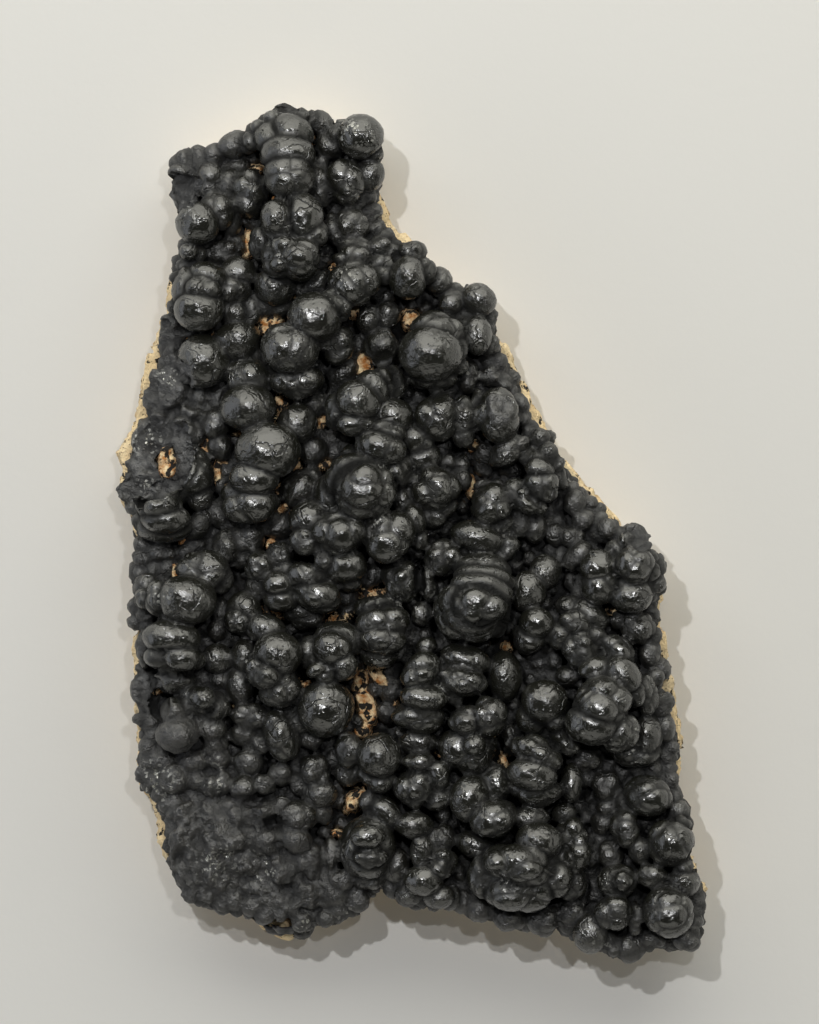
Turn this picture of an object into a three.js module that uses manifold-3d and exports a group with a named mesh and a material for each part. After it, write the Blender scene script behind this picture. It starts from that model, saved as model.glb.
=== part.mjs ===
import * as THREE from 'three';
import { mergeVertices } from 'three/addons/utils/BufferGeometryUtils.js';
import Module from 'manifold-3d';

// A cabinet specimen of botryoidal manganese ore: a black crust of fused domes on a slab of tan rock.
// It lies on the back of its rock. X is across it, Y up its length and Z out of the crust, in millimetres,
// and the origin is on the resting plane below the middle of its outline.

// The specimen's width and length, which its relief covers with a little to spare
const WIDTH = 150;
const LENGTH = 217;
const SPARE = 2;

// Heights above the resting plane
const ROCK_BACK = 0;
const ROCK_FRONT = 18;
const CREVICE_FLOOR = 20.4;
const ABOVE_ALL = 60;

// The crust is a hair off the rock that it grew on
const GAP = 0.3;

// A dome's depth against its mean radius, and how steeply its stem widens below it
const DOME_DEPTH = 0.95;
const STEM_SLOPE = 2.2;

// The relief's facets are about this long, and a dome this wide gets one corner of them on its top
const FACET = 2.6;
const PEAKED_RADIUS = 2.6;

// The outline seen from the front, clockwise from the top left corner: [x, y, bare], where bare is how far
// the crust stops short of the rock's edge. Where bare is 0 the crust hangs over the edge instead.
const OUTLINE = [
  [-61, 94, 0], [-57, 96.8, 0], [-50, 97.8, 0], [-42, 100.5, 0], [-38, 104, 0], [-34, 107.4, 0],
  [-29, 107, 0], [-24, 105.3, 0], [-18, 103.2, 0], [-12, 104, 0], [-8, 101.5, 0], [-7, 96, 0],
  [-7.5, 91, 0], [-8, 86, 0.5], [-6.5, 82, 1.5], [-4, 77.5, 2.5], [-0.5, 73.5, 1], [4, 68, 0],
  [8.5, 63.5, 0], [13.5, 61.8, 0], [18.5, 61.5, 0], [21, 56, 0], [21, 50, 0.8], [24.5, 46.5, 2.5],
  [27, 41, 2], [29, 36, 1.2], [31, 31.5, 1.5], [34.3, 26.5, 1.5], [36, 23.5, 1], [40, 17.5, 1.8],
  [44, 12.8, 2], [48.5, 7, 1.8], [52.5, 2.5, 0.8], [57, 0.8, 0.4], [61, -5, 0], [63.4, -11, 0],
  [63, -18, 1.2], [64, -29, 1.8], [66, -39, 1.8], [67.5, -45, 1.5], [69, -54, 1.5], [67.6, -60, 1],
  [68, -66, 0], [70, -73, 0], [71.5, -83, 1], [75, -91, 1], [73.5, -96, 0], [72, -103, 0],
  [67, -105, 0], [61, -105, 0], [55, -107.8, 0], [48, -106.2, 0], [41, -103, 0], [36, -100, 0],
  [29, -101, 0], [21, -98.5, 0], [14, -96, 0], [6, -94.8, 0], [-1, -93.7, 0], [-8.4, -90, 0],
  [-12, -95, 0], [-19, -99, 0], [-24.5, -98.5, 0], [-30, -103.2, 1.5], [-37, -101, 1.5], [-40, -97.5, 0],
  [-48, -96.2, 0], [-57, -92.8, 0], [-61.5, -86, 0], [-64.3, -77.5, 2], [-66, -69, 1.5], [-70.2, -62, 0.8],
  [-69.3, -53, 1], [-70.5, -44, 1.2], [-71, -36, 1.8], [-70.2, -26, 1.2], [-70, -16, 0], [-71, -9, 0],
  [-70.4, -2, 1.2], [-72.5, 5, 1.5], [-75, 10.5, 1], [-73.7, 16, 1.2], [-75.2, 20, 3], [-71, 26, 3],
  [-70, 32, 2.5], [-69, 39, 3], [-66.5, 45.5, 2.5], [-63.8, 51, 1.2], [-62.3, 57, 1], [-60.8, 65, 1],
  [-58.3, 73, 1], [-59.4, 81, 0.5], [-60.8, 87, 0],
];

// A point inside the outline that sees all of it
const HUB = [-26, 0];

// The rock's side from the back up: [height, how far inside the outline, how rough]
const ROCK_RINGS = [
  [ROCK_BACK, 4.2, 0.8], [3.5, 2.2, 0.9], [9, 1, 0.9], [14, 0, 0.4], [ROCK_FRONT, 0.8, 0.4],
];

// The crust's own side, from its foot inside the rock up
const CRUST_RINGS = [
  [13, 4.2, 0], [16.2, 1.1, 0.3], [20.2, -0.5, 0.4], [ABOVE_ALL, -0.5, 0.4],
];

// The domes: [x, y, half length, half width, turn in degrees, height of the top]. A dome's length lies along
// its turn.
const DOMES = [
  // The top spire and the two corners beside it
  [-31.5, 103.8, 4.6, 4.2, 0, 33], [-36, 102, 3.4, 3.6, 0, 30], [-35.2, 98.3, 4.2, 4.2, 0, 37],
  [-30, 99.6, 5.2, 4.6, -20, 38], [-31, 94.2, 6.2, 4.6, 0, 41], [-31, 88.8, 5.9, 5.5, 0, 43],
  [-41, 84.8, 4.7, 5.4, 0, 35], [-45.3, 86.3, 3.2, 4.2, 0, 32], [-51, 88.3, 4.2, 4.2, 0, 32],
  [-54.2, 91.6, 2.6, 2.8, 0, 28], [-44, 91.3, 3.4, 2.2, 10, 28], [-44.5, 97, 4.4, 3.3, 20, 31],
  [-49.5, 94.8, 3.6, 2.8, 25, 29], [-56.5, 94, 3.4, 2.8, 10, 26], [-58.2, 85, 2.6, 5, 10, 24],
  [-23.6, 102.8, 3.6, 3, 0, 30], [-12.8, 98.8, 5.8, 5.5, 0, 39], [-9.4, 95.2, 2.6, 2.4, 0, 35],
  [-20.5, 97, 3.8, 3.6, 0, 31], [-10.5, 89.6, 3.6, 4.4, 0, 34], [-22.8, 92.4, 2, 1.9, 0, 30],
  [-22.9, 86.3, 3.5, 5.2, 0, 34], [-16.8, 87, 4.8, 5.6, 0, 37], [-12.8, 83.6, 2.3, 2.2, 0, 31],
  // The shoulder under the spire
  [-53.5, 77.2, 5.4, 5.3, 0, 38], [-49, 80.3, 4.4, 4.7, 0, 35], [-45.5, 78, 2.5, 3.6, 0, 31],
  [-55.3, 71.5, 3.6, 3.2, 0, 29], [-46.8, 70.8, 5, 3.1, 22, 30], [-58.7, 67, 2, 3, 0, 25],
  [-32.4, 77.8, 4.8, 5.6, 0, 44], [-27.6, 78.6, 4.8, 5.2, 0, 44], [-24.7, 73.8, 3.8, 3.6, -20, 42],
  [-30.3, 68.2, 7, 5.3, -5, 46], [-37.6, 72, 2.8, 4.6, 10, 36], [-15.3, 76.8, 4.2, 3.9, 0, 34],
  [-19.5, 75.2, 2.9, 4.2, 10, 33], [-10.4, 76, 2.1, 2.6, 20, 28], [-7.6, 71.3, 3.9, 3.1, 0, 34],
  [-7.8, 67.2, 3.1, 2.2, 0, 35], [-7.1, 64.3, 2.9, 2.9, 0, 36], [-14.6, 71, 4.2, 2.8, 0, 35],
  [-14.8, 68.6, 4.8, 2.6, 0, 38], [-14.3, 62.2, 5.9, 5.7, 0, 42], [0.2, 70, 3.9, 3, -30, 35],
  [-0.9, 63.4, 4.5, 5.2, 0, 40], [3.2, 65, 3, 3.6, 10, 37], [6.6, 63, 3.6, 3.4, -35, 33],
  // The upper left field
  [-56.2, 60.3, 4, 5.8, 0, 38], [-51, 63.8, 4.4, 3.2, -20, 38], [-52.4, 60.4, 4.6, 3.6, -10, 40],
  [-53.2, 55.6, 5.8, 5, 0, 41], [-43.4, 65, 4, 3.6, 0, 35], [-44.8, 60.6, 4, 3.6, 0, 36],
  [-40.6, 56, 3.4, 3.6, 0, 33], [-44.3, 55, 3.6, 3.2, 0, 34], [-43.7, 47.9, 5.2, 4.3, 0, 36],
  [-34.2, 61.6, 4.5, 4.6, 0, 36], [-36.8, 56.9, 2.5, 2.8, 0, 32], [-33, 56.4, 2.9, 2.4, 0, 32],
  [-24.6, 62.4, 4.8, 3.2, 32, 33], [-52.3, 42.7, 5.8, 6.1, 0, 38], [-60.3, 52.5, 3.2, 2.8, 0, 27],
  [-62.2, 48.5, 2.6, 5.4, 0, 25], [-59.3, 43, 2.5, 2.6, 0, 27], [-60.8, 36.3, 5.4, 5.6, 0, 30],
  [-65.5, 33.5, 3.5, 3.4, 0, 26], [-53, 33.7, 2.9, 2.9, 0, 30], [-48.8, 33.4, 1.9, 2.5, 0, 29],
  [-47.2, 37.2, 2.2, 2.4, 0, 28], [-39.6, 43.6, 3.2, 2.6, 0, 32], [-40.7, 38.6, 5.6, 4.4, 0, 37],
  [-41, 31, 6.3, 5.3, 0, 41], [-30.2, 46, 6.6, 5.9, 0, 45], [-28.6, 37.7, 5.9, 4.2, 0, 39],
  [-24.2, 53.6, 6, 5.6, 0, 45], [-20, 56.4, 4.8, 3.8, -20, 42], [-18.8, 46.8, 4.3, 4.4, 0, 38],
  [-28.7, 27.4, 4.6, 4.6, 0, 36], [-24.3, 31.6, 3.6, 3.2, 30, 31], [-56.4, 25, 4.2, 4.6, 0, 32],
  [-55.6, 29.6, 2.6, 2.4, 0, 31], [-49.4, 27.2, 3.5, 3.9, 0, 33], [-47.9, 21.2, 2.9, 3.2, 0, 32],
  [-67.6, 20, 10.5, 5.6, 75, 29],
  // The upper right field
  [-4.9, 37.3, 3.4, 4, -10, 37], [-7.4, 37.4, 3.8, 3.8, 0, 39], [-10, 35.8, 4.2, 4.2, 0, 41],
  [-13.6, 32.6, 5, 4.8, -30, 44], [-17.6, 30, 4, 4.8, 0, 41], [-14.4, 27.2, 4.6, 3, 0, 43],
  [-4.9, 28.8, 4.4, 4, 0, 40], [6.1, 28.8, 4.8, 5.4, 0, 39], [12.3, 28.6, 3, 4.6, 0, 36],
  [13, 24, 2.7, 2.8, 0, 35], [21.3, 29, 5.6, 6.2, 0, 39], [16.6, 31.5, 1.6, 4, 0, 33],
  [4.7, 44.6, 7, 6.2, 0, 46], [6.6, 50, 6.4, 4.6, 0, 42], [11, 46, 2.8, 4.2, 0, 40],
  [11.6, 41.8, 2.3, 2.4, 0, 38], [5.4, 38.4, 5.4, 3.2, 0, 37], [16.2, 49.2, 3.8, 5, 0, 36],
  [13.6, 49.6, 2.6, 4.2, 0, 34], [10.2, 57.2, 3.5, 3.6, 0, 33], [16.8, 58.2, 4.4, 4, -35, 34],
  [13.8, 39.1, 2.7, 4, 0, 30], [19.9, 39.2, 2.7, 2.7, 0, 29], [21.5, 42.8, 2.8, 2.2, -20, 28],
  [25.2, 38.5, 2.3, 2.3, 0, 26], [-7.7, 46.2, 4.3, 4.7, 0, 35], [-6.2, 54.3, 3, 3.2, 0, 34],
  [-10.6, 53, 3.3, 3.6, 0, 34], [-6.9, 58.8, 2.4, 2.6, 0, 30], [-13.7, 47, 1.7, 2.7, 0, 29],
  [-17.3, 39.8, 4.5, 3.1, 48, 31],
  // The two columns in the middle
  [-36, 20.2, 7.2, 6.4, 0, 44], [-39.4, 13.4, 5.6, 4, 0, 43], [-40.6, 7.4, 7.2, 5.6, -8, 41],
  [-6.6, 24.3, 4.6, 3.2, -10, 42], [-8, 21.2, 5.7, 4.2, -10, 44], [-14.6, 18.6, 3.2, 3, 0, 37],
  [-4.8, 15.4, 4.4, 4.4, -30, 39], [-12, 10.8, 7.6, 6.5, -8, 49], [-13.4, 12.6, 7.6, 6.2, -5, 46.5],
  [-20, 9.3, 4, 5.4, 0, 38], [-18, 0, 6.3, 5, -5, 44], [-16.9, -8.3, 5, 3.8, 0, 40],
  [-22, -6.8, 2.5, 3, 0, 40], [-16, -12.7, 3.3, 2, 0, 34], [-5.6, -1, 5.8, 6, 0, 43],
  [0.6, 3.4, 2.5, 3.6, 20, 37], [2, -1.8, 1.9, 2.5, -15, 34], [-2.6, 8, 2.3, 2.5, 0, 35],
  [1, 8.3, 2.1, 2.7, 25, 33],
  // The left middle
  [-55.8, 14.2, 5.7, 6.3, 0, 36], [-53.4, 9.2, 3.6, 3.2, 0, 34], [-63, 7.9, 5.8, 5.4, 0, 41],
  [-61.6, 3.6, 5.6, 3.8, -5, 40], [-62.2, 1.4, 7.4, 4, 0, 36], [-67.6, 2.6, 2.8, 2.8, 0, 33],
  [-53.6, 1.8, 4.2, 2.8, 50, 32], [-70, 6.6, 2.2, 2.4, 0, 28], [-48.4, 4.8, 2.8, 3.2, 0, 30],
  [-27.5, 11.2, 5.8, 4.2, 50, 33], [-24.9, 20.3, 3.4, 3.2, 0, 31], [-33.6, 1.8, 3.6, 3.3, 20, 29],
  [-46, -3.6, 3.7, 4.2, 0, 32], [-41.4, -1.6, 4.1, 4, 0, 32], [-42.6, -6.2, 3, 3, 0, 30],
  [-52, -10, 6.5, 4.8, -12, 37], [-47.6, -11.6, 2.9, 3.6, 0, 35], [-56.2, -16.9, 6.6, 5.3, -8, 43],
  [-62.4, -16.8, 3.8, 4.9, 0, 39], [-63, -5, 3.7, 2.5, 0, 29], [-56.4, -5.6, 2.6, 2.6, 0, 28],
  [-65, -9.8, 2.5, 3.1, 0, 28], [-61.4, -9.5, 2.6, 2.6, 0, 28], [-69.6, -10.2, 1.7, 3.5, 0, 25],
  [-69.2, -18.5, 2.3, 2.3, 0, 26], [-69.3, -22.8, 2.5, 2.1, 0, 25], [-66, -18, 2.2, 3, 0, 28],
  [-42, -20.3, 4.2, 4.9, 0, 36], [-43.4, -22, 3.2, 3.2, 0, 37], [-48.2, -19.6, 2, 3, 0, 29],
  [-48.7, -24.6, 2.4, 2.6, 0, 29], [-38, -8.8, 3.5, 3.7, 0, 36], [-33, -5.8, 3.3, 3.1, 0, 35],
  [-31.5, -9.6, 2.6, 2.6, 0, 35], [-38.3, -13.4, 3.2, 3.2, 0, 34], [-33.4, -13, 3.5, 2.8, 0, 38],
  [-32.8, -16.4, 3.8, 3.2, 0, 37], [-26, -11.4, 4.6, 3.5, -20, 39], [-23.6, -15.6, 5.9, 4, -15, 40],
  [-25.6, 2.8, 4.7, 4.6, 0, 39], [-26.5, -2, 3.7, 3.6, 0, 40], [-26.8, -20.6, 4.7, 3.4, -15, 33],
  // The right middle
  [1.4, 23.2, 3.8, 4.2, 0, 37], [2.6, 18.8, 4, 3.4, 0, 36], [5.8, 11, 5.6, 4.9, 0, 40],
  [5.6, 4.6, 3.2, 3.4, 0, 35], [8.3, 6.6, 2.9, 3, 0, 35], [8.9, 17.4, 2.4, 2.3, 0, 31],
  [12.5, 17, 2.2, 2.1, 0, 30], [12.8, 13.2, 1.9, 2.5, 0, 31], [20.1, 6.8, 4.8, 4.8, 0, 38],
  [21.5, 2.8, 4.2, 2.7, -15, 35], [18.6, 11, 2.7, 2, 0, 31], [21.8, 11.4, 2.3, 1.8, 0, 31],
  [16.4, -1.3, 6.2, 3.4, -16, 37], [24, -4.2, 2.5, 3.2, -15, 34], [8, -6.5, 4.7, 4, 15, 36],
  [24, 20, 6.1, 3.3, 35, 35], [32.4, 17.3, 5, 3.5, 0, 36], [31.7, 15.6, 3.4, 2.7, -15, 39],
  [32.4, 11.6, 4.2, 3.6, -40, 40], [36.2, 14.6, 2.5, 4.4, 25, 34], [28.5, 8.4, 5.6, 3.8, -38, 39],
  [27.3, 2, 3, 3.1, 0, 33], [30.8, 1, 2.6, 3.6, 0, 32], [33.6, 23.3, 2.8, 2.7, 0, 27],
  [40.6, 7.3, 2.8, 3.1, 0, 30], [44.8, 7.3, 1.8, 1.7, 0, 27], [47.4, 5.8, 1.9, 1.5, -35, 26],
  [42.9, 3.1, 2.7, 2.5, 0, 30], [47.5, 3.4, 2.1, 1.8, 0, 28], [36, -0.6, 2.4, 2.4, 0, 29],
  [39.7, -0.9, 3.1, 2.6, 0, 30], [47.8, -0.6, 3.3, 2.4, 0, 29], [55.8, -0.9, 4, 2.8, -20, 31],
  [47.4, -11, 5.5, 6.3, 0, 40], [55.4, -8.2, 4.8, 4.9, 0, 41], [54.6, -15.8, 4.9, 4.1, 0, 39],
  [52, -4.6, 3.6, 2.4, 0, 35], [58.6, -14.6, 2.2, 3.2, 0, 35], [61.8, -8.8, 2, 3.6, 0, 30],
  [62, -13.6, 1.9, 2.4, 0, 28], [41.6, -6, 3.9, 3, 40, 33], [33.3, -10, 3.6, 3.8, 0, 34],
  [28.9, -15, 4, 4.6, 0, 36],
  // The great nose and the dome split by a slot
  [17.8, -9.8, 6.6, 4.2, -10, 40], [17.8, -12, 6.9, 4.2, -10, 42.5], [17.2, -14.4, 7, 4.2, -10, 45],
  [14.6, -19.8, 9, 7, 0, 47], [16, -18.4, 6.4, 5.2, 0, 49], [21, -18.5, 3.4, 7, 0, 42],
  [-2.6, -11.8, 4.6, 5, 0, 36], [4, -12.6, 2.1, 4.6, 5, 34], [2.4, -20.5, 2.5, 2.6, 0, 31],
  [-10, -11, 3.4, 2.4, 50, 30], [-8.4, -19.4, 5.6, 3.2, 0, 37], [-7.2, -22.8, 5.8, 4.8, 0, 40],
  [-7.6, -26.8, 5.4, 3.6, 0, 41], [-8.2, -31, 4, 2.8, 0, 36], [-16.4, -16, 2.5, 2.5, 0, 29],
  // The lower right field
  [31, -22.8, 3.9, 3.6, 0, 38], [29.4, -26.3, 4.4, 3.6, 0, 36], [39.6, -18.8, 3.6, 2.6, 0, 33],
  [44.5, -20.8, 4.7, 3.2, -35, 35], [40.7, -22.4, 3.7, 2.8, -15, 37], [37, -25.8, 2.9, 3.2, 0, 36],
  [42.3, -29.4, 4.3, 4.4, 0, 38], [46, -26.6, 3.2, 2.2, 0, 36], [51, -29.8, 4.9, 3.2, -35, 37],
  [45.8, -34, 4, 2.8, 10, 40], [52.6, -35.6, 4.6, 3.6, -45, 42], [55.4, -40, 2.4, 3.8, 0, 39],
  [58.4, -40.6, 2.9, 5.5, 8, 36], [47.2, -42.6, 6.8, 6.1, 0, 48], [45.2, -47.2, 6.2, 5.2, 0, 47],
  [51.4, -49.4, 4.6, 4.8, 0, 44], [56.7, -23.8, 4.6, 4.2, -20, 34], [52.4, -22, 2.6, 2.3, 0, 31],
  [59.6, -30.3, 2.8, 3.6, -15, 31], [60.6, -26.4, 1.7, 2.6, 0, 30], [62.6, -34.5, 2.3, 2.9, 0, 27],
  [39.4, -36.2, 3, 2.6, 0, 32], [31.9, -32.6, 2.2, 2, 0, 27], [35.7, -32.4, 2, 2.2, 0, 28],
  [33, -42.6, 5.2, 5.2, 0, 41], [29.8, -46.4, 3.5, 3.9, 0, 38], [35.8, -47.2, 2.7, 2.6, 0, 39],
  [33.2, -49.9, 2.6, 2.2, 0, 34], [38, -52, 4.6, 3, -48, 37], [43.6, -56.6, 4.6, 3.5, 0, 32],
  [58.2, -51, 3.9, 5, 0, 35], [56, -54.6, 5.6, 4, 0, 34], [63.8, -49, 2.2, 3.5, 0, 30],
  [63.5, -56, 2, 2.3, 0, 28], [63, -43.5, 2.6, 2.1, 0, 28], [31.2, -55.2, 6.2, 3.6, -25, 45],
  [29.9, -60.2, 5.6, 3.8, -12, 46], [31.4, -64.6, 6.1, 3.4, 0, 41], [39.9, -62.6, 2.5, 4.3, 0, 37],
  // The lower middle
  [-18.6, -27.4, 5.6, 4.6, 0, 39], [-19.8, -29, 4.3, 3.9, 0, 42], [-21.6, -34.6, 4.4, 2.8, 12, 41],
  [-17.2, -33.4, 3.5, 3.4, 0, 41], [-25.4, -30.2, 3, 4, 0, 37], [-21.6, -44, 6.2, 6.4, -15, 41],
  [-28.3, -46.8, 2.8, 3.6, 20, 35], [-25, -51.8, 3, 2.7, 0, 32], [-6.4, -45.3, 2.6, 2.6, 0, 28],
  [-9.5, -39.5, 2.1, 2.3, 0, 27], [3.6, -28.4, 2.4, 1.9, 20, 36], [2.4, -34.7, 5.2, 4.2, 10, 41],
  [2.8, -41.2, 5.4, 3.1, -5, 41], [1.6, -46, 6, 3.8, -5, 39], [13.2, -31.9, 5.7, 3.6, -14, 38],
  [12.9, -37.3, 5.4, 3.3, -10, 41], [10.4, -40.8, 2.8, 2.5, 0, 37], [23.1, -36.2, 3.8, 5.8, 0, 36],
  [1.5, -52.8, 4.5, 2.9, 0, 35], [-15.8, -54.6, 3.2, 4.2, 0, 36], [-16, -60.4, 3, 3.2, 0, 32],
  [-8.3, -56, 4.8, 5.3, 0, 40], [-9, -61.4, 4.3, 3.4, 0, 37], [14, -47, 4.6, 3.6, 0, 41],
  [19.2, -46, 4.2, 4.5, 0, 42], [14.4, -54.4, 6.7, 5.8, 0, 39], [15.5, -53, 2.6, 2.3, 0, 41.5],
  [2, -57.6, 3.8, 2.6, 0, 38], [6.4, -61, 3.3, 3.9, 0, 38], [1.2, -64, 5, 4.6, 0, 38],
  [5.8, -66.5, 3.6, 3, 0, 36], [25, -52, 2.8, 3.9, 0, 31], [14.4, -66.6, 4.3, 5.4, -10, 40],
  [20.3, -71.4, 5.4, 4.3, 22, 43], [21.2, -62.8, 3.7, 4.2, 0, 37], [16, -78.2, 4.6, 3.2, -20, 35],
  [-24.2, -60, 3.7, 4, 0, 33], [-22.8, -65.6, 3.8, 3.2, 0, 33], [-22.6, -70.6, 2.9, 2.4, 0, 31],
  // The lower left field
  [-60, -26.6, 6.8, 4.4, -5, 42], [-59, -31.6, 6.8, 4.2, -5, 42], [-67, -29, 2.4, 5, 0, 32],
  [-59.4, -37, 4.7, 3.3, 0, 34], [-67.6, -39.4, 3.2, 4.4, 0, 28], [-67, -47.4, 3.3, 2.3, 0, 28],
  [-65, -51.7, 2.2, 1.9, 0, 27], [-48.8, -31.7, 3.6, 3.3, 0, 33], [-48.3, -37.2, 2.6, 2.1, 0, 30],
  [-52.6, -36.4, 2.6, 2.4, 0, 29], [-36.4, -24.4, 4.7, 3.4, -15, 38], [-33.6, -30.4, 5.4, 5, 0, 43],
  [-36.9, -35.3, 4.6, 4, -20, 43], [-33, -39, 5, 4.5, 0, 41], [-41.9, -30.8, 2.9, 3.8, 0, 34],
  [-43, -38.4, 3.4, 4.6, 0, 32], [-53, -42.7, 5.2, 3.7, 0, 37], [-59.4, -45, 3.2, 3.4, 0, 37],
  [-58.4, -50.6, 4.9, 4.2, 0, 39], [-49.2, -44.2, 3.4, 4, 0, 36], [-50, -48.7, 3.2, 3.3, 0, 35],
  [-49.4, -53.2, 2.9, 2.6, 0, 33], [-48.4, -56.4, 2.7, 2.7, 0, 32], [-54.4, -57.4, 3.3, 2.7, 0, 32],
  [-40.4, -46.2, 4.2, 3.4, 0, 34], [-42.4, -50.7, 3.4, 2.9, 0, 32], [-38.4, -53.4, 2.8, 2.4, 0, 32],
  [-41, -57.5, 3.4, 3, 0, 32], [-32.5, -50.8, 4.1, 6.4, 12, 37], [-62.6, -57, 3.7, 3.6, 0, 29],
  [-59.2, -61.6, 3.7, 3.5, 0, 32], [-65.4, -62, 3.4, 3.8, 0, 27], [-53.6, -62, 3, 3, 0, 31],
  [-50, -63.6, 2.5, 3, 0, 32], [-47.2, -62.6, 2.2, 2.7, 0, 32], [-42.2, -64, 3.1, 3.1, 0, 33],
  [-36.8, -63.1, 2.6, 2.4, 0, 33], [-33, -60.6, 3, 2.7, 0, 32], [-27.4, -63, 2.8, 2.8, 0, 31],
  // The rough bottom left corner
  [-60, -68.5, 3.6, 2.6, 0, 29], [-56.5, -70.8, 4.8, 3, -5, 31], [-50, -69, 2.8, 2.6, 0, 30],
  [-43.8, -70.9, 3.5, 2.9, -15, 32], [-46.8, -76.8, 6, 3.9, 0, 33], [-55.5, -86.8, 5.6, 5.6, 0, 30],
  [-57.5, -78.6, 4.4, 4, 0, 28], [-47.5, -86.4, 5.2, 4.6, 0, 29], [-42.8, -82.8, 4, 4, 0, 30],
  [-44.5, -92.4, 4.2, 3.4, 15, 27], [-50.5, -91.6, 3.8, 3.4, 0, 26], [-40, -89, 2.8, 2.8, 0, 28],
  [-38.8, -93.6, 4.2, 3.6, 0, 25], [-36.8, -70.6, 3.6, 2.6, 45, 33], [-32.5, -68.6, 2.6, 2.2, 0, 32],
  [-36.4, -77, 4.2, 3.6, 0, 34], [-29, -71.6, 4.8, 4.2, 0, 35], [-29.4, -77, 3.8, 3, 0, 35],
  [-32, -84, 4.8, 4.8, 0, 32], [-26.2, -82, 4.4, 4.6, 0, 32], [-20.2, -81, 1.9, 4.2, 0, 30],
  [-28, -90, 5, 4.2, 0, 28], [-20, -90.4, 4.8, 4.6, 0, 29], [-17.6, -87.4, 2.8, 2.8, 0, 30],
  [-15.4, -93.2, 3.4, 3.4, 0, 25], [-19, -95.6, 4.6, 3.2, 15, 24], [-32.5, -95, 4.6, 3, 0, 24],
  [-33.5, -99.6, 3.4, 2.2, 0, 20], [-28, -99.8, 3.2, 2.8, 0, 20],
  // The bottom edge
  [-10.4, -67.4, 3, 2.6, 0, 34], [-7, -69.6, 4.6, 2.9, -40, 35], [-11.4, -78.6, 6.4, 7.6, 0, 38],
  [-11, -75.8, 4, 2.6, 0, 42], [-10.6, -81, 4.2, 2.7, 0, 40], [-11, -86.2, 4, 3.5, 0, 32],
  [0.4, -73.3, 4.3, 3, 0, 36], [2.2, -79.9, 2.7, 3.8, 0, 36], [8, -76.6, 3.2, 3.2, 0, 34],
  [7.6, -82.8, 3.6, 3.7, 0, 37], [3, -87, 4.5, 3.6, 0, 37], [6.6, -91.2, 3.9, 3.1, 0, 34],
  [-4, -83.5, 3.2, 4.2, 0, 32], [-3.6, -89.2, 4.2, 3.2, -25, 29], [1, -92.5, 3.4, 2.4, -10, 28],
  [7.5, -70.7, 2, 2.2, 0, 31], [29.4, -71.4, 4.5, 2.7, 0, 39], [31.8, -76.9, 5.2, 4.1, -10, 43],
  [40.2, -78.2, 4.5, 6.3, 0, 39], [38.2, -70.3, 2.8, 2.3, 0, 34], [26.4, -83, 8.2, 5.2, -8, 47],
  [27, -89.6, 8.6, 5.2, 5, 43], [18, -86.2, 3.8, 5, 0, 39], [35.6, -86.4, 3.9, 4.3, 0, 41],
  [40.2, -87.8, 3.4, 4.2, 0, 33], [17, -94.6, 3.2, 3.5, 0, 29], [24.6, -96.8, 4.3, 3.5, 0, 30],
  [33, -97, 4.3, 4.3, 0, 31],
  // The bottom right corner
  [49, -64, 3.8, 4.1, 0, 31], [59, -65.8, 5.7, 4.8, -10, 37], [53.8, -67.6, 2.9, 3, 0, 32],
  [67, -70.8, 3, 3.5, 0, 31], [48.6, -69, 2.4, 2.3, 0, 30], [47.8, -73, 2.8, 3, 0, 29],
  [53.3, -74.4, 3.6, 4.3, 0, 35], [64.6, -77.4, 6, 6, 0, 39], [57, -79.7, 2.7, 3.1, 0, 34],
  [49.6, -81, 3.2, 3.4, 0, 31], [60, -86, 3.7, 2.9, 0, 35], [68, -87.4, 3.9, 4.1, 0, 35],
  [51.4, -87.4, 4.5, 3.8, 0, 35], [52.4, -87.4, 2.5, 2.4, 0, 37], [50.4, -95.2, 4.4, 4.1, 0, 36],
  [64, -94.8, 6.2, 5.9, 0, 39], [55.9, -96.6, 2.4, 3.8, 0, 32], [40.8, -95.4, 3.5, 3.5, 0, 30],
  [44.8, -100.4, 4.4, 5.3, 10, 33], [48.6, -102.6, 2.8, 2.9, 0, 30], [54.6, -104.2, 3.8, 3.7, 0, 30],
  [60.4, -102.1, 3.4, 2.8, 0, 29], [68.6, -102.1, 4, 3.4, 0, 29], [72.4, -93.6, 1.6, 2.2, 0, 25],
];

// Broken and flattened faces: [x, y, z, outward x, outward y, outward z, radius of the face]
const BREAKS = [
  [-67, 20, 27, -0.3, 0, 0.95, 10], [-61.5, 37, 28.5, -0.5, 0.3, 0.81, 7],
  [-58.4, 85, 23.6, -0.4, 0, 0.92, 5], [-63.4, 48.5, 24.5, -0.8, 0.1, 0.6, 5],
  [57.5, -0.5, 29.5, 0.4, 0.5, 0.77, 4], [21.5, 30.5, 38, 0.2, 0.35, 0.92, 4],
  [-66, -39.5, 27, -0.6, 0.1, 0.8, 4], [-1, 80, 25, 0.7, 0.4, 0.6, 9],
];

// Hollows and clefts in the crust: [x, y, half length, half width, turn in degrees, depth]
const HOLLOWS = [
  [-31, 106.3, 3, 1.6, 0, 8], [-63, -43, 2.8, 4.2, 0, 5], [-34.5, -72.8, 2.6, 2, 0, 6],
  [1.6, -12, 1.2, 5.4, 0, 9], [-7.2, 43.4, 2.6, 1.8, 30, 3],
];

// Rough crust that fills what no dome covers: [x, y, half length, half width, turn in degrees, height]
const FILLINGS = [
  [-54, -82, 11, 11, 0, 25.5], [-33, -88, 12, 9, 0, 24.5], [-45, -78, 16, 10, 0, 26], [9, -87, 12, 7, 10, 25],
  [52, -92, 20, 14, -15, 24], [-59, -60, 12, 14, 0, 24.5], [-66, 22, 8, 12, 0, 23],
];

const wasm = await Module();
wasm.setup();

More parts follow.
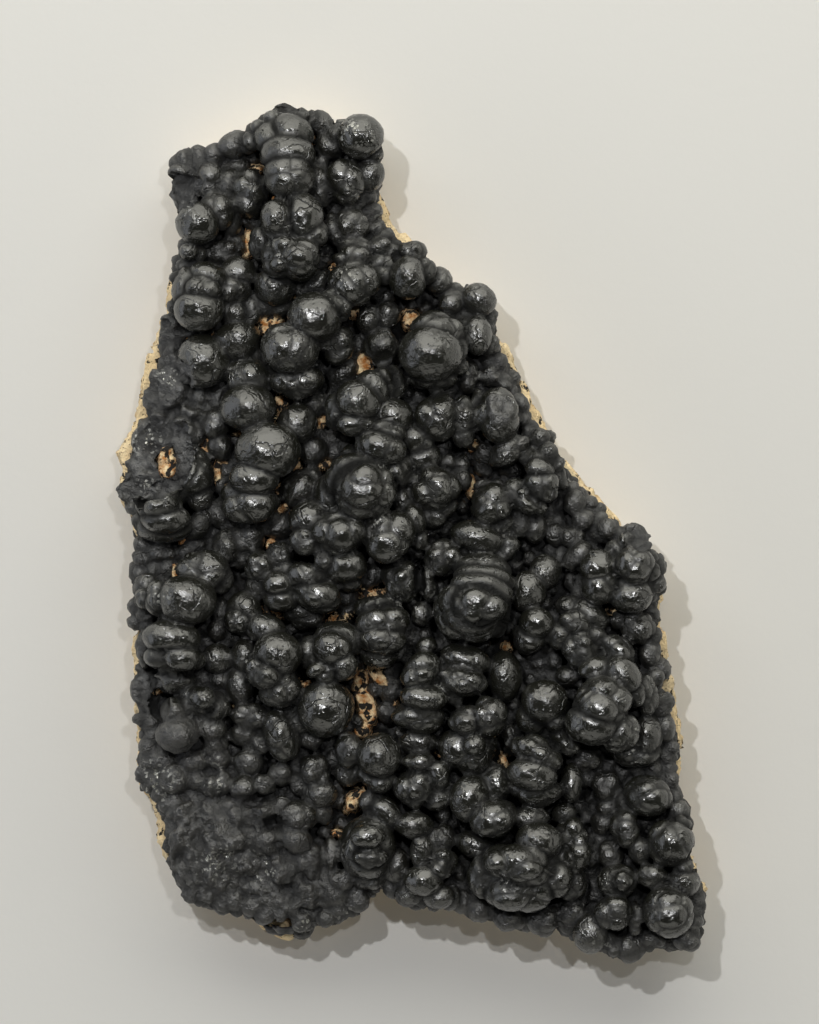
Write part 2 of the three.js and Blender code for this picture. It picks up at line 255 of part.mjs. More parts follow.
// A closed solid from a geometry: only its places are kept, and equal ones become one
function solid(geometry) {
  geometry.deleteAttribute('normal');
  geometry.deleteAttribute('uv');
  const merged = mergeVertices(geometry, 1e-4);
  const vertProperties = new Float32Array(merged.attributes.position.array);
  const triVerts = new Uint32Array(merged.index.array);
  return new wasm.Manifold(new wasm.Mesh({ numProp: 3, vertProperties, triVerts }));
}

// The geometry of a solid, ready for a mesh
function geometryOf(body) {
  const mesh = body.getMesh();
  const geometry = new THREE.BufferGeometry();
  geometry.setAttribute('position', new THREE.BufferAttribute(mesh.vertProperties, 3));
  geometry.setIndex(new THREE.BufferAttribute(mesh.triVerts, 1));
  geometry.computeVertexNormals();
  return geometry;
}

// The outline's points moved inwards, each at right angles to the line between its neighbours
function inset(distances) {
  const count = OUTLINE.length;
  return OUTLINE.map(([x, y], i) => {
    const [lastX, lastY] = OUTLINE[(i + count - 1) % count];
    const [nextX, nextY] = OUTLINE[(i + 1) % count];
    const along = new THREE.Vector2(nextX - lastX, nextY - lastY).normalize();
    return new THREE.Vector2(x + along.y * distances[i], y - along.x * distances[i]);
  });
}

// A slab of stacked rings with flat ends, its sides roughened by two waves that run along the outline.
// edge(bare) gives how far a point moves inwards on top of its ring's own distance.
function slab(rings, edge, grow) {
  const count = OUTLINE.length;
  const places = [];
  const faces = [];
  rings.forEach(([height, inwards, rough], level) => {
    const distances = OUTLINE.map(([, , bare], i) => {
      const wave = Math.sin(i * 2.4 + level * 1.7) + Math.sin(i * 0.9 - level * 2.3);
      return inwards + edge(bare) + 0.5 * rough * wave - grow;
    });
    const last = level === rings.length - 1;
    const rise = last ? grow : level === 0 ? -grow : 0;
    inset(distances).forEach((point) => places.push(point.x, point.y, height + rise));
  });
  for (let level = 0; level + 1 < rings.length; level += 1) {
    for (let i = 0; i < count; i += 1) {
      const next = (i + 1) % count;
      const low = level * count;
      const high = low + count;
      faces.push(low + i, high + next, low + next, low + i, high + i, high + next);
    }
  }
  const top = (rings.length - 1) * count;
  const backHub = rings.length * count;
  const frontHub = backHub + 1;
  places.push(...HUB, rings[0][0] - grow, ...HUB, rings.at(-1)[0] + grow);
  for (let i = 0; i < count; i += 1) {
    const next = (i + 1) % count;
    faces.push(i, next, backHub, top + next, top + i, frontHub);
  }
  const geometry = new THREE.BufferGeometry();
  geometry.setAttribute('position', new THREE.Float32BufferAttribute(places, 3));
  geometry.setIndex(faces);
  return solid(geometry);
}

// How far a place is inside an ellipse: 1 at its middle, 0 on its rim and less outside
function inside(x, y, [middleX, middleY, halfLength, halfWidth, turn]) {
  const angle = THREE.MathUtils.degToRad(turn);
  const across = x - middleX;
  const up = y - middleY;
  const lengthwise = (across * Math.cos(angle) + up * Math.sin(angle)) / halfLength;
  const sideways = (up * Math.cos(angle) - across * Math.sin(angle)) / halfWidth;
  return 1 - lengthwise ** 2 - sideways ** 2;
}

// The height of the crust's face: the highest dome or stem, filling or crevice floor, less what is broken off
function relief(x, y) {
  let height = CREVICE_FLOOR + 0.5 * Math.sin(x / 5) * Math.sin(y / 7);
  for (const filling of FILLINGS) {
    const share = Math.min(1, Math.max(0, 2 * inside(x, y, filling)));
    const rough = Math.sin(x * 1.1 + y * 0.4) + Math.sin(y * 1.3 - x * 0.5);
    height = Math.max(height, CREVICE_FLOOR + share * (filling[5] - CREVICE_FLOOR + 0.6 * rough));
  }
  for (const dome of DOMES) {
    const share = inside(x, y, dome);
    const radius = (dome[2] + dome[3]) / 2;
    const depth = DOME_DEPTH * radius;
    const below = share > 0 ? depth * (1 - Math.sqrt(share))
      : depth + STEM_SLOPE * radius * (Math.sqrt(1 - share) - 1);
    height = Math.max(height, dome[5] - below);
  }
  for (const [breakX, breakY, breakZ, outX, outY, outZ, radius] of BREAKS) {
    if (Math.hypot(x - breakX, y - breakY) < radius) {
      const plane = breakZ - (outX * (x - breakX) + outY * (y - breakY)) / outZ;
      height = Math.max(CREVICE_FLOOR, Math.min(height, plane));
    }
  }
  for (const hollow of HOLLOWS) {
    height -= hollow[5] * Math.sqrt(Math.max(0, inside(x, y, hollow)));
  }
  return Math.max(height, CREVICE_FLOOR - 1);
}

// A block whose front is raised to the relief, with a corner of its facets moved to each dome's top
function reliefBlock() {
  const columns = Math.round((WIDTH + 2 * SPARE) / FACET);
  const rows = Math.round((LENGTH + 2 * SPARE) / FACET);
  const geometry = new THREE.BoxGeometry(WIDTH + 2 * SPARE, LENGTH + 2 * SPARE, 1, columns, rows, 1);
  const places = geometry.attributes.position;
  const stepX = (WIDTH + 2 * SPARE) / columns;
  const stepY = (LENGTH + 2 * SPARE) / rows;
  const peaks = new Map();
  for (const [x, y, halfLength, halfWidth] of DOMES) {
    const column = Math.round(x / stepX + columns / 2);
    const row = Math.round(y / stepY + rows / 2);
    const gridX = (column - columns / 2) * stepX;
    const gridY = (row - rows / 2) * stepY;
    const near = Math.max(Math.abs(x - gridX) / stepX, Math.abs(y - gridY) / stepY) < 0.4;
    if (near && (halfLength + halfWidth) / 2 > PEAKED_RADIUS) {
      peaks.set(`${column} ${row}`, [x, y]);
    }
  }
  for (let i = 0; i < places.count; i += 1) {
    const gridX = places.getX(i);
    const gridY = places.getY(i);
    const key = `${Math.round(gridX / stepX + columns / 2)} ${Math.round(gridY / stepY + rows / 2)}`;
    const [x, y] = peaks.get(key) ?? [gridX, gridY];
    places.setXYZ(i, x, y, places.getZ(i) > 0 ? relief(x, y) : ROCK_BACK + 1);
  }
  return solid(geometry);
}

function rock(grow) {
  const underCrust = 1.3;
  return slab(ROCK_RINGS, (bare) => (bare > 0 ? 0 : underCrust), grow);
}

function crust() {
  const whole = reliefBlock().intersect(slab(CRUST_RINGS, (bare) => bare, 0));
  const pieces = whole.subtract(rock(GAP)).decompose();
  return pieces.reduce((best, piece) => (piece.volume() > best.volume() ? piece : best));
}

function mesh(name, body, color, roughness, metalness) {
  const material = new THREE.MeshStandardMaterial({ color, roughness, metalness, flatShading: true });
  const part = new THREE.Mesh(geometryOf(body), material);
  part.name = name;
  return part;
}

const specimen = new THREE.Group();
specimen.add(mesh('matrix', rock(0), 0xd9b98a, 0.9, 0));
specimen.add(mesh('manganite_crust', crust(), 0x2a2b2a, 0.35, 0.2));

export default specimen;
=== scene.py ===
import itertools
import math

import bpy
import numpy as np
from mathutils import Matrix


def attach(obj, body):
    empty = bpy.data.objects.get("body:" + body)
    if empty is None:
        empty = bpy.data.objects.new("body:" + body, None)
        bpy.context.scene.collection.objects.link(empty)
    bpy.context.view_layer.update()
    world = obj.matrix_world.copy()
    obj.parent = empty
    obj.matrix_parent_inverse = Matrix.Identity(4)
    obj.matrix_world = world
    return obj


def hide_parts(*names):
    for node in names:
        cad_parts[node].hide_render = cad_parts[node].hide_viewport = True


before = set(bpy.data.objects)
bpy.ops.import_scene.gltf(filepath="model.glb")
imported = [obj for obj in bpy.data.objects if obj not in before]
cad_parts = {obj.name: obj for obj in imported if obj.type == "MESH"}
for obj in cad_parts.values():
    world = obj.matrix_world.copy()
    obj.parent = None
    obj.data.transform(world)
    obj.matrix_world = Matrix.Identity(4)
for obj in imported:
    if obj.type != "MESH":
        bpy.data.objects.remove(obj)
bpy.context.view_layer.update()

# The view: the photo's camera faced the specimen's front, so here it looks straight down on it as it lies.
# It stands far off, as the long lens that such a piece is shot with does, and frames 819 by 1024 pixels.
PIXELS_PER_MM = 4.0
FRAME_PIXELS = (819, 1024)
ORIGIN_PIXEL = (412.0, 532.0)
EYE_HEIGHT = 1.9
DOME_LEVEL = 0.032
SENSOR = 36.0

camera = bpy.data.objects.new("camera", bpy.data.cameras.new("camera"))
bpy.context.scene.collection.objects.link(camera)
camera.data.sensor_width = SENSOR
camera.data.lens = SENSOR * (EYE_HEIGHT - DOME_LEVEL) * 1000 * PIXELS_PER_MM / FRAME_PIXELS[1]
camera.data.clip_start = 0.05
camera.location = (
    (FRAME_PIXELS[0] / 2 - ORIGIN_PIXEL[0]) / PIXELS_PER_MM / 1000,
    (ORIGIN_PIXEL[1] - FRAME_PIXELS[1] / 2) / PIXELS_PER_MM / 1000,
    EYE_HEIGHT,
)
bpy.context.scene.camera = camera


# The table and the light of the studio: a plain pale board, a broad soft box and a low one beyond the narrow
# end that give every dome its upper sheen, weaker ones at the sides and foot, and two small lamps for glints.
def linear(shade):
    """The linear colour of an sRGB hex value: below 0.04045 a twelfth, above it the 2.4 power curve."""
    parts = np.array([int(shade[place:place + 2], 16) / 255 for place in (1, 3, 5)])
    curved = np.where(parts <= 0.04045, parts / 12.92, ((parts + 0.055) / 1.055) ** 2.4)
    return (*(float(part) for part in curved), 1.0)


def add(tree, kind, inputs=None, **settings):
    """Adds a node with its settings. Inputs get values, or links from sockets or nodes' first outputs."""
    made = tree.nodes.new("ShaderNode" + kind)
    for name, value in settings.items():
        setattr(made, name, value)
    for name, value in (inputs or {}).items():
        if isinstance(value, bpy.types.Node):
            value = next(output for output in value.outputs if output.enabled)
        if isinstance(value, bpy.types.NodeSocket):
            tree.links.new(value, made.inputs[name])
        else:
            made.inputs[name].default_value = value
    return made


def blank_material(name):
    """A new material with an empty node tree and its output."""
    material = bpy.data.materials.new(name)
    material.use_nodes = True
    tree = material.node_tree
    tree.nodes.clear()
    return material, tree, tree.nodes.new("ShaderNodeOutputMaterial")


def soft_box(name, place, aim, width, height, power, shade="#ffffff"):
    """A rectangular area light at place that faces aim."""
    data = bpy.data.lights.new(name, "AREA")
    data.shape = "RECTANGLE"
    data.size = width
    data.size_y = height
    data.energy = power
    data.color = linear(shade)[:3]
    box = bpy.data.objects.new(name, data)
    bpy.context.scene.collection.objects.link(box)
    place, aim = np.array(place), np.array(aim)
    away = place - aim
    flat = math.hypot(away[0], away[1])
    box.location = place
    box.rotation_euler = (math.atan2(flat, away[2]), 0, math.atan2(away[0], -away[1]))
    return box


TABLE_HALF = 1.2
table_mesh = bpy.data.meshes.new("table")
table_mesh.from_pydata(
    [(x * TABLE_HALF, y * TABLE_HALF, 0) for x, y in ((-1, -1), (1, -1), (1, 1), (-1, 1))], [], [(0, 1, 2, 3)]
)
table = bpy.data.objects.new("table", table_mesh)
bpy.context.scene.collection.objects.link(table)
board, board_tree, board_out = blank_material("pale_matte_board")
board_grain = add(board_tree, "TexNoise", {"Scale": 900.0, "Detail": 3.0})
board_bump = add(board_tree, "Bump", {"Height": board_grain, "Strength": 0.05})
board_skin = add(board_tree, "BsdfPrincipled", {
    "Base Color": linear("#dddcd9"), "Roughness": 0.85, "Normal": board_bump,
})
board_tree.links.new(board_skin.outputs[0], board_out.inputs["Surface"])
table_mesh.materials.append(board)

soft_box("head_panel", (0.0, 0.66, 0.66), (0, 0, 0.03), 1.5, 0.72, 6.5, "#fffdf2")
soft_box("head_wall", (0.0, 1.0, 0.2), (0, 0, 0.03), 1.6, 0.4, 3.0, "#fffdf2")
soft_box("left_panel", (-0.9, 0.1, 0.36), (0, 0, 0.03), 1.3, 0.6, 1.9, "#f4f8ff")
soft_box("right_panel", (0.9, 0.1, 0.36), (0, 0, 0.03), 1.3, 0.6, 1.5, "#fffdf2")
soft_box("foot_panel", (0.0, -0.88, 0.38), (0, 0, 0.03), 1.3, 0.6, 1.3, "#fffdf2")
soft_box("left_glint", (-0.24, 0.34, 1.3), (0, 0, 0.03), 0.025, 0.025, 4.8)
soft_box("right_glint", (0.12, 0.16, 1.4), (0, 0, 0.03), 0.025, 0.025, 2.4)

world = bpy.data.worlds.new("dim_room")
world.use_nodes = True
world.node_tree.nodes["Background"].inputs["Color"].default_value = linear("#8f9092")
world.node_tree.nodes["Background"].inputs["Strength"].default_value = 0.05
bpy.context.scene.world = world
bpy.context.scene.view_settings.view_transform = "Standard"

# Matrix: the slab of fine-grained rock that the crust grew on, broken off all round. It shows cream along the
# edges, ochre to rusty in the gaps of the crust, and is plain rough rock on its back, where it rests.
# Lengths below are in millimetres.
ROCK_FRONT = 17.6
# What the pieces keep within, from side to side and along
LEAST = np.array([-75.1, -108.2])
MOST = np.array([74.8, 107.8])
OUTLINE = np.array([
    (-61, 94, 0), (-57, 96.8, 0), (-50, 97.8, 0), (-42, 100.5, 0), (-38, 104, 0), (-34, 107.4, 0),
    (-29, 107, 0), (-24, 105.3, 0), (-18, 103.2, 0), (-12, 104, 0), (-8, 101.5, 0), (-7, 96, 0),
    (-7.5, 91, 0), (-8, 86, 0.5), (-6.5, 82, 1.5), (-4, 77.5, 2.5), (-0.5, 73.5, 1), (4, 68, 0),
    (8.5, 63.5, 0), (13.5, 61.8, 0), (18.5, 61.5, 0), (21, 56, 0), (21, 50, 0.8), (24.5, 46.5, 2.5),
    (27, 41, 2), (29, 36, 1.2), (31, 31.5, 1.5), (34.3, 26.5, 1.5), (36, 23.5, 1), (40, 17.5, 1.8),
    (44, 12.8, 2), (48.5, 7, 1.8), (52.5, 2.5, 0.8), (57, 0.8, 0.4), (61, -5, 0), (63.4, -11, 0),
    (63, -18, 1.2), (64, -29, 1.8), (66, -39, 1.8), (67.5, -45, 1.5), (69, -54, 1.5), (67.6, -60, 1),
    (68, -66, 0), (70, -73, 0), (71.5, -83, 1), (75, -91, 1), (73.5, -96, 0), (72, -103, 0),
    (67, -105, 0), (61, -105, 0), (55, -107.8, 0), (48, -106.2, 0), (41, -103, 0), (36, -100, 0),
    (29, -101, 0), (21, -98.5, 0), (14, -96, 0), (6, -94.8, 0), (-1, -93.7, 0), (-8.4, -90, 0),
    (-12, -95, 0), (-19, -99, 0), (-24.5, -98.5, 0), (-30, -103.2, 1.5), (-37, -101, 1.5), (-40, -97.5, 0),
    (-48, -96.2, 0), (-57, -92.8, 0), (-61.5, -86, 0), (-64.3, -77.5, 2), (-66, -69, 1.5), (-70.2, -62, 0.8),
    (-69.3, -53, 1), (-70.5, -44, 1.2), (-71, -36, 1.8), (-70.2, -26, 1.2), (-70, -16, 0), (-71, -9, 0),
    (-70.4, -2, 1.2), (-72.5, 5, 1.5), (-75, 10.5, 1), (-73.7, 16, 2.2), (-75.2, 20, 4.2), (-71, 26, 4),
    (-70, 32, 3.6), (-69, 39, 4), (-66.5, 45.5, 3.4), (-63.8, 51, 1.2), (-62.3, 57, 1), (-60.8, 65, 1),
    (-58.3, 73, 1), (-59.4, 81, 0.5), (-60.8, 87, 0),
])
HUB = np.array([-26.0, 0.0])


def lattice_value(cell, seed):
    """A repeatable number from 0 to 1 for each lattice cell: its whole numbers mixed by large odd factors."""
    mixed = cell[..., 0] * 374761393 + cell[..., 1] * 668265263 + cell[..., 2] * 1440662683 + seed * 974634777
    mixed = mixed.astype(np.uint64) & np.uint64(0xFFFFFFFF)
    mixed = ((mixed ^ (mixed >> np.uint64(13))) * np.uint64(1274126177)) & np.uint64(0xFFFFFFFF)
    mixed = ((mixed ^ (mixed >> np.uint64(15))) * np.uint64(2246822519)) & np.uint64(0xFFFFFFFF)
    return (mixed ^ (mixed >> np.uint64(16))) / 0xFFFFFFFF


def noise(places, size, seed):
    """Smooth noise from -1 to 1 with features about size apart: random values on a cubic lattice, blended
    between the eight corners round each place by the smooth step 3t^2 - 2t^3."""
    cell = places / size
    low = np.floor(cell).astype(np.int64)
    step = cell - low
    step = step * step * (3 - 2 * step)
    total = np.zeros(places.shape[:-1])
    for corner in itertools.product((0, 1), repeat=3):
        share = np.prod(np.where(corner, step, 1 - step), axis=-1)
        total += share * lattice_value(low + np.array(corner), seed)
    return 2 * total - 1


def cells(places, size, seed):
    """Distances to the nearest and second nearest of points scattered one to a lattice cell of this size."""
    cell = places / size
    low = np.floor(cell).astype(np.int64)
    first = np.full(places.shape[:-1], 9.0)
    second = np.full(places.shape[:-1], 9.0)
    for corner in itertools.product((-1, 0, 1), repeat=3):
        near = low + np.array(corner)
        point = near + np.stack([lattice_value(near, seed + k) for k in range(3)], -1)
        away = np.linalg.norm(point - cell, axis=-1)
        second = np.minimum(second, np.maximum(first, away))
        first = np.minimum(first, away)
    return first * size, second * size


def fractures(places, size, seed):
    """Flat chips: each place takes the height of the slanting plane of the nearest scattered point."""
    cell = places / size
    low = np.floor(cell).astype(np.int64)
    nearest = np.full(places.shape[:-1], 9.0)
    height = np.zeros(places.shape[:-1])
    for corner in itertools.product((-1, 0, 1), repeat=3):
        near = low + np.array(corner)
        away = cell - near - np.stack([lattice_value(near, seed + k) for k in range(3)], -1)
        slant = np.stack([lattice_value(near, seed + 3 + k) for k in range(3)], -1) - 0.5
        far = np.linalg.norm(away, axis=-1)
        plane = np.sum(away * slant, -1) + 0.5 * lattice_value(near, seed + 6) - 0.25
        height = np.where(far < nearest, plane, height)
        nearest = np.minimum(nearest, far)
    return height


def within(places, row):
    """How far each place is inside an upright elliptic column: 1 on its axis, 0 on its wall, less outside."""
    x, y, half_length, half_width, turn = row[:5]
    angle = math.radians(turn)
    across, up = places[..., 0] - x, places[..., 1] - y
    lengthwise = (across * math.cos(angle) + up * math.sin(angle)) / half_length
    sideways = (up * math.cos(angle) - across * math.sin(angle)) / half_width
    return 1 - lengthwise ** 2 - sideways ** 2


def edge_line(count):
    """The outline as count points at even steps, each with its bare width, and their outward directions."""
    closed = np.vstack([OUTLINE, OUTLINE[:1]])
    steps = np.hypot(*np.diff(closed[:, :2], axis=0).T)
    reach = np.concatenate([[0], np.cumsum(steps)])
    along = np.linspace(0, reach[-1], count, endpoint=False)
    line = np.stack([np.interp(along, reach, closed[:, k]) for k in range(3)], -1)
    ahead = np.roll(line[:, :2], -2, axis=0) - np.roll(line[:, :2], 2, axis=0)
    ahead /= np.linalg.norm(ahead, axis=1, keepdims=True)
    return line, np.stack([-ahead[:, 1], ahead[:, 0]], -1)


def slab(around, rings, most_bare):
    """A closed slab. One parameter runs round the outline, the other from the middle of the back over the
    side to the middle of the front: each ring is the outline moved inwards, or drawn towards the hub by a
    share. Low rings are evened out as they go in, so that they don't cross themselves at corners."""
    line, outward = edge_line(around)
    sheets = []
    for height, inwards, bare_share, drawn in rings:
        ring = line[:, :2] - outward * (inwards + bare_share * np.minimum(line[:, 2:3], most_bare))
        for _ in range(int(inwards * max(0, 14 - height) / 3)):
            ring = (np.roll(ring, 1, axis=0) + 2 * ring + np.roll(ring, -1, axis=0)) / 4
        ring = ring + (HUB - ring) * drawn
        sheets.append(np.column_stack([ring, np.full(around, height)]))
    return np.array(sheets)


def grid_faces(rows, columns):
    """Quads of a grid that closes round its columns."""
    row, column = np.meshgrid(np.arange(rows - 1), np.arange(columns), indexing="ij")
    after = (column + 1) % columns
    here, above = row * columns, (row + 1) * columns
    return np.stack([here + column, above + column, above + after, here + after], -1).reshape(-1, 4)


def new_piece(name, places, faces):
    """A mesh object from places in millimetres and a table of faces."""
    mesh = bpy.data.meshes.new(name)
    mesh.vertices.add(len(places))
    mesh.vertices.foreach_set("co", (places / 1000).astype(np.float32).ravel())
    mesh.loops.add(faces.size)
    mesh.loops.foreach_set("vertex_index", faces.astype(np.int32).ravel())
    mesh.polygons.add(len(faces))
    mesh.polygons.foreach_set("loop_start", np.arange(0, faces.size, faces.shape[1], dtype=np.int32))
    mesh.update(calc_edges=True)
    piece = bpy.data.objects.new(name, mesh)
    bpy.context.scene.collection.objects.link(piece)
    return piece


def mesh_places(mesh):
    """The places of a mesh's vertices in millimetres."""
    flat = np.empty(len(mesh.vertices) * 3, np.float32)
    mesh.vertices.foreach_get("co", flat)
    return flat.reshape(-1, 3).astype(float) * 1000


def mesh_normals(mesh):
    """The unit normals of a mesh's vertices."""
    flat = np.empty(len(mesh.vertices) * 3, np.float32)
    mesh.vertex_normals.foreach_get("vector", flat)
    return flat.reshape(-1, 3).astype(float)


def mark(mesh, name, values):
    """Keeps one number a vertex in the mesh, for its material."""
    layer = mesh.attributes.new(name, "FLOAT", "POINT")
    layer.data.foreach_set("value", values.astype(np.float32))


# Knobs of rock that stand up in the gaps of the crust: x, y, half length, half width, turn, height
KNOBS = [
    (-39.5, 97.5, 1.1, 2, 0, 27), (-39.5, 91, 1.9, 1.4, 0, 27), (-44, 80.8, 1.6, 1.4, 0, 27),
    (-34.5, 83.5, 1.1, 1.8, 0, 27), (-41, 73.3, 1.1, 2.6, 0, 27), (-41.3, 69.4, 1.4, 1.1, 0, 27),
    (-54, 67.5, 3, 1, 0, 26), (-24, 99.5, 2.2, 2, 0, 27), (-19.2, 101, 1.3, 1.1, 0, 26),
    (-8.2, 75.8, 1.4, 1.7, 0, 28), (-20, 64.8, 1.1, 2.6, 0, 27), (-13, 55.3, 2.6, 1.7, 0, 27),
    (-0.5, 53.5, 2, 2, 0, 28), (-35.5, 52.3, 2.9, 2.2, 20, 29), (-28.5, 59, 1, 1.9, 0, 27),
    (-46.5, 56.5, 1.3, 1.1, 0, 26), (-45.5, 42, 2.3, 2.9, 0, 28), (-54, 37.5, 3.2, 1.1, 0, 26),
    (-55.5, 47.8, 1.4, 1.1, 0, 26), (-49, 48.5, 1.4, 1.1, 0, 26), (-58.5, 45.5, 1.6, 1.1, 0, 26),
    (-12.3, 41.8, 2.3, 2.6, 0, 28), (-33, 33, 1.6, 3.2, 0, 27), (-35.5, 27.5, 3.1, 1.1, 40, 27),
    (-51.7, 21.5, 1.6, 2.6, 0, 27), (-43, 25, 2.3, 0.9, 0, 27), (-23, 28.6, 1.6, 2.6, 0, 27),
    (-61.5, 17.5, 2.1, 3.1, 0, 27), (-48.7, 14, 0.9, 3.8, 0, 27), (-47, 18, 1.7, 1.1, 0, 27),
    (-32.5, 10.5, 1.4, 1.4, 0, 27), (-34.5, 4.2, 4.2, 1, 40, 27), (-22.8, 8, 1.1, 2, 0, 27),
    (-22.5, 16.8, 2, 1.1, 0, 27), (-29, 16.5, 1.1, 1.1, 0, 26), (-35.3, -3.3, 1.1, 1.4, 0, 27),
    (-58.7, -10.2, 1.8, 2.6, 0, 27), (-57, -2.6, 1.4, 1, 0, 26), (-67.3, -8, 1.1, 4.7, 0, 25),
    (-65.5, -13.6, 1.7, 1.4, 0, 26), (-67, -3.5, 1.4, 1, 0, 26), (-36.3, -18.8, 4.5, 1.6, -25, 27),
    (-18.3, -21.6, 2.6, 0.9, 20, 27), (-11.8, -15.4, 1, 2.1, 0, 27), (-8.7, -15.4, 2.6, 1, 0, 27),
    (-0.5, 13.5, 1.4, 2, 0, 27), (14.8, 11, 1, 2.6, 0, 26), (15.6, 21.5, 1.7, 1.6, 0, 26),
    (28.5, 32, 1.1, 1.1, 0, 26), (-64.3, -39.5, 1.3, 1.4, 0, 26), (-44.5, -42, 1.1, 2, 0, 27),
    (-27.2, -38, 1.7, 1, 0, 27), (-13, -38, 1.5, 3, -10, 27), (-11.5, -44.5, 1.9, 4, 12, 27.5),
    (-12.5, -50, 2, 1.5, 0, 27), (-8.6, -35.6, 1.4, 3.4, 30, 27), (-5, -42, 1.4, 1.7, 0, 26),
    (-14.3, -67.2, 1.6, 3.2, -35, 29), (-18.7, -75.8, 1.3, 0.9, 0, 27), (6.7, -55.2, 1.1, 1, 0, 27),
    (23, -57.5, 0.9, 1.9, 0, 26), (24, -29, 1.1, 1.1, 0, 26), (51.3, -19.6, 2, 0.9, 0, 28),
    (-39.5, -73, 1.1, 1, 0, 29), (-35.5, -97.6, 4.2, 1.1, -10, 27.5), (-30.5, -98.2, 2.9, 1, 10, 27.5),
]


def front_height(places):
    """The height of the rock's front: gentle waves, and a rounded knob in every gap of the crust."""
    flat = np.column_stack([places[:, :2], np.zeros(len(places))])
    height = ROCK_FRONT + 0.9 * noise(flat, 14, 3) + 0.4 * noise(flat, 4.5, 4)
    ragged = 0.7 * noise(flat, 1.9, 8)
    line, _ = edge_line(300)
    rim = np.min(np.hypot(flat[:, None, 0] - line[:, 0], flat[:, None, 1] - line[:, 1]), axis=1)
    lowered = np.clip((rim - 3) / 7, 0.08, 1)
    for knob in KNOBS:
        share = np.clip(within(flat, knob) + 1.1 + ragged, 0, 1)
        height = np.maximum(height, ROCK_FRONT + (knob[5] - ROCK_FRONT) * lowered * share ** 0.5)
    return height


# Rings of the slab: height, how far in, how much less far where the rock is bare, share drawn towards the hub
ROCK_RINGS = (
    [(0.0, 5.0, 0.0, share) for share in np.linspace(1, 0, 18)]
    + [(0.3, 4.2, -0.2, 0.0), (1.2, 3.1, -0.4, 0.0), (2.4, 2.5, -0.7, 0.0), (3.8, 2.2, -1.0, 0.0)]
    + [(height, 2.2 - 0.09 * (height - 4.4), -1.1, 0.0) for height in np.linspace(4.8, 15.6, 15)]
    + [(16.4, 1.3, -1.2, 0.0), (17.0, 1.6, -1.2, 0.0), (17.5, 2.2, -1.2, 0.0)]
    + [(ROCK_FRONT, 3.1, -1.2, share) for share in np.linspace(0, 1, 98)]
)
rock_grid = slab(700, ROCK_RINGS, 1.0)
rock_rows, rock_columns = rock_grid.shape[:2]
rock_places = rock_grid.reshape(-1, 3)
rock = new_piece("matrix_rock", rock_places, grid_faces(rock_rows, rock_columns))
rock_normals = mesh_normals(rock.data)
level = rock_places[:, 2]
side = np.clip(level / 3, 0, 1) * np.clip((19 - level) / 2, 0, 1)
chips = 3.4 * fractures(rock_places, 13, 5) + 2.2 * fractures(rock_places * np.array([1, 1, 1.5]), 6, 15)
chips += 0.9 * fractures(rock_places, 2.6, 25) + 0.5 * noise(rock_places, 9, 6)
chips += 0.3 * noise(rock_places, 1.3, 7)
rock_places = rock_places + rock_normals * (side * np.minimum(chips - 0.9, 0.5))[:, None]
front = (level > 17.2) & (rock_normals[:, 2] > 0.3)
rock_places[front, 2] = front_height(rock_places[front]) + 0.45 * noise(rock_places[front], 1.5, 9)
back = level < 1.5
back_pits = np.clip(noise(rock_places, 6, 12) + 0.15, 0, 1) * 0.9 + 0.15 * (noise(rock_places, 1.6, 13) + 1)
rock_places[back, 2] += back_pits[back]
rock_places[:, :2] = np.clip(rock_places[:, :2], LEAST, MOST)
rock.data.vertices.foreach_set("co", (rock_places / 1000).astype(np.float32).ravel())
rock.data.update()

# Fine-grained matrix rock, broken by hand: cream on the front's edges, ochre round the ore, rusty lower down
rock_places = mesh_places(rock.data)
stain = np.clip((rock_places[:, 2] - 15.5) / 3, 0, 1)
line, _ = edge_line(420)
rim = np.min(np.linalg.norm(rock_places[:, None, :2] - line[None, ::3, :2], axis=-1), axis=1)
mark(rock.data, "stain", stain * np.clip((rim - 2.5) / 4, 0, 1))
mark(rock.data, "weathered", 0.75 * np.clip((15.5 - rock_places[:, 2]) / 3, 0, 1))
rock.data.polygons.foreach_set("use_smooth", np.ones(len(rock.data.polygons), bool))
stone, tree, stone_out = blank_material("cream_matrix_rock")
where = add(tree, "TexCoord").outputs["Object"]
stain_value = add(tree, "Attribute", attribute_name="stain").outputs["Fac"]
patches = add(tree, "TexNoise", {"Vector": where, "Scale": 1000 / 9, "Detail": 5.0, "Roughness": 0.6})
specks = add(tree, "TexVoronoi", {"Vector": where, "Scale": 1000 / 1.1})
speck = add(tree, "MapRange", {"Value": specks, "From Min": 0.12, "From Max": 0.2,
                               "To Min": 1.0, "To Max": 0.0})
blotch_cloud = add(tree, "TexNoise", {"Vector": where, "Scale": 1000 / 1.6, "Detail": 5.0})
blotch = add(tree, "MapRange", {"Value": blotch_cloud, "From Min": 0.36, "From Max": 0.64})
cream = add(tree, "Mix", {"Factor": patches, "A": linear("#ffefcb"), "B": linear("#f2cf94")},
            data_type="RGBA")
ochre = add(tree, "Mix", {"Factor": blotch, "A": linear("#ffe6b8"), "B": linear("#b8783c")}, data_type="RGBA")
rust = add(tree, "TexNoise", {"Vector": where, "Scale": 1000 / 7, "Detail": 6.0, "Roughness": 0.7})
rusty = add(tree, "MapRange", {"Value": rust, "From Min": 0.5, "From Max": 0.68})
weathered_value = add(tree, "Attribute", attribute_name="weathered").outputs["Fac"]
rust_share = add(tree, "Math", {0: rusty, 1: weathered_value}, operation="MULTIPLY")
layered = add(tree, "Mix", {"Factor": rust_share, "A": cream, "B": linear("#a06a38")}, data_type="RGBA")
body = add(tree, "Mix", {"Factor": stain_value, "A": layered, "B": ochre}, data_type="RGBA")
speck_share = add(tree, "Math", {0: speck, 1: 0.8}, operation="MULTIPLY")
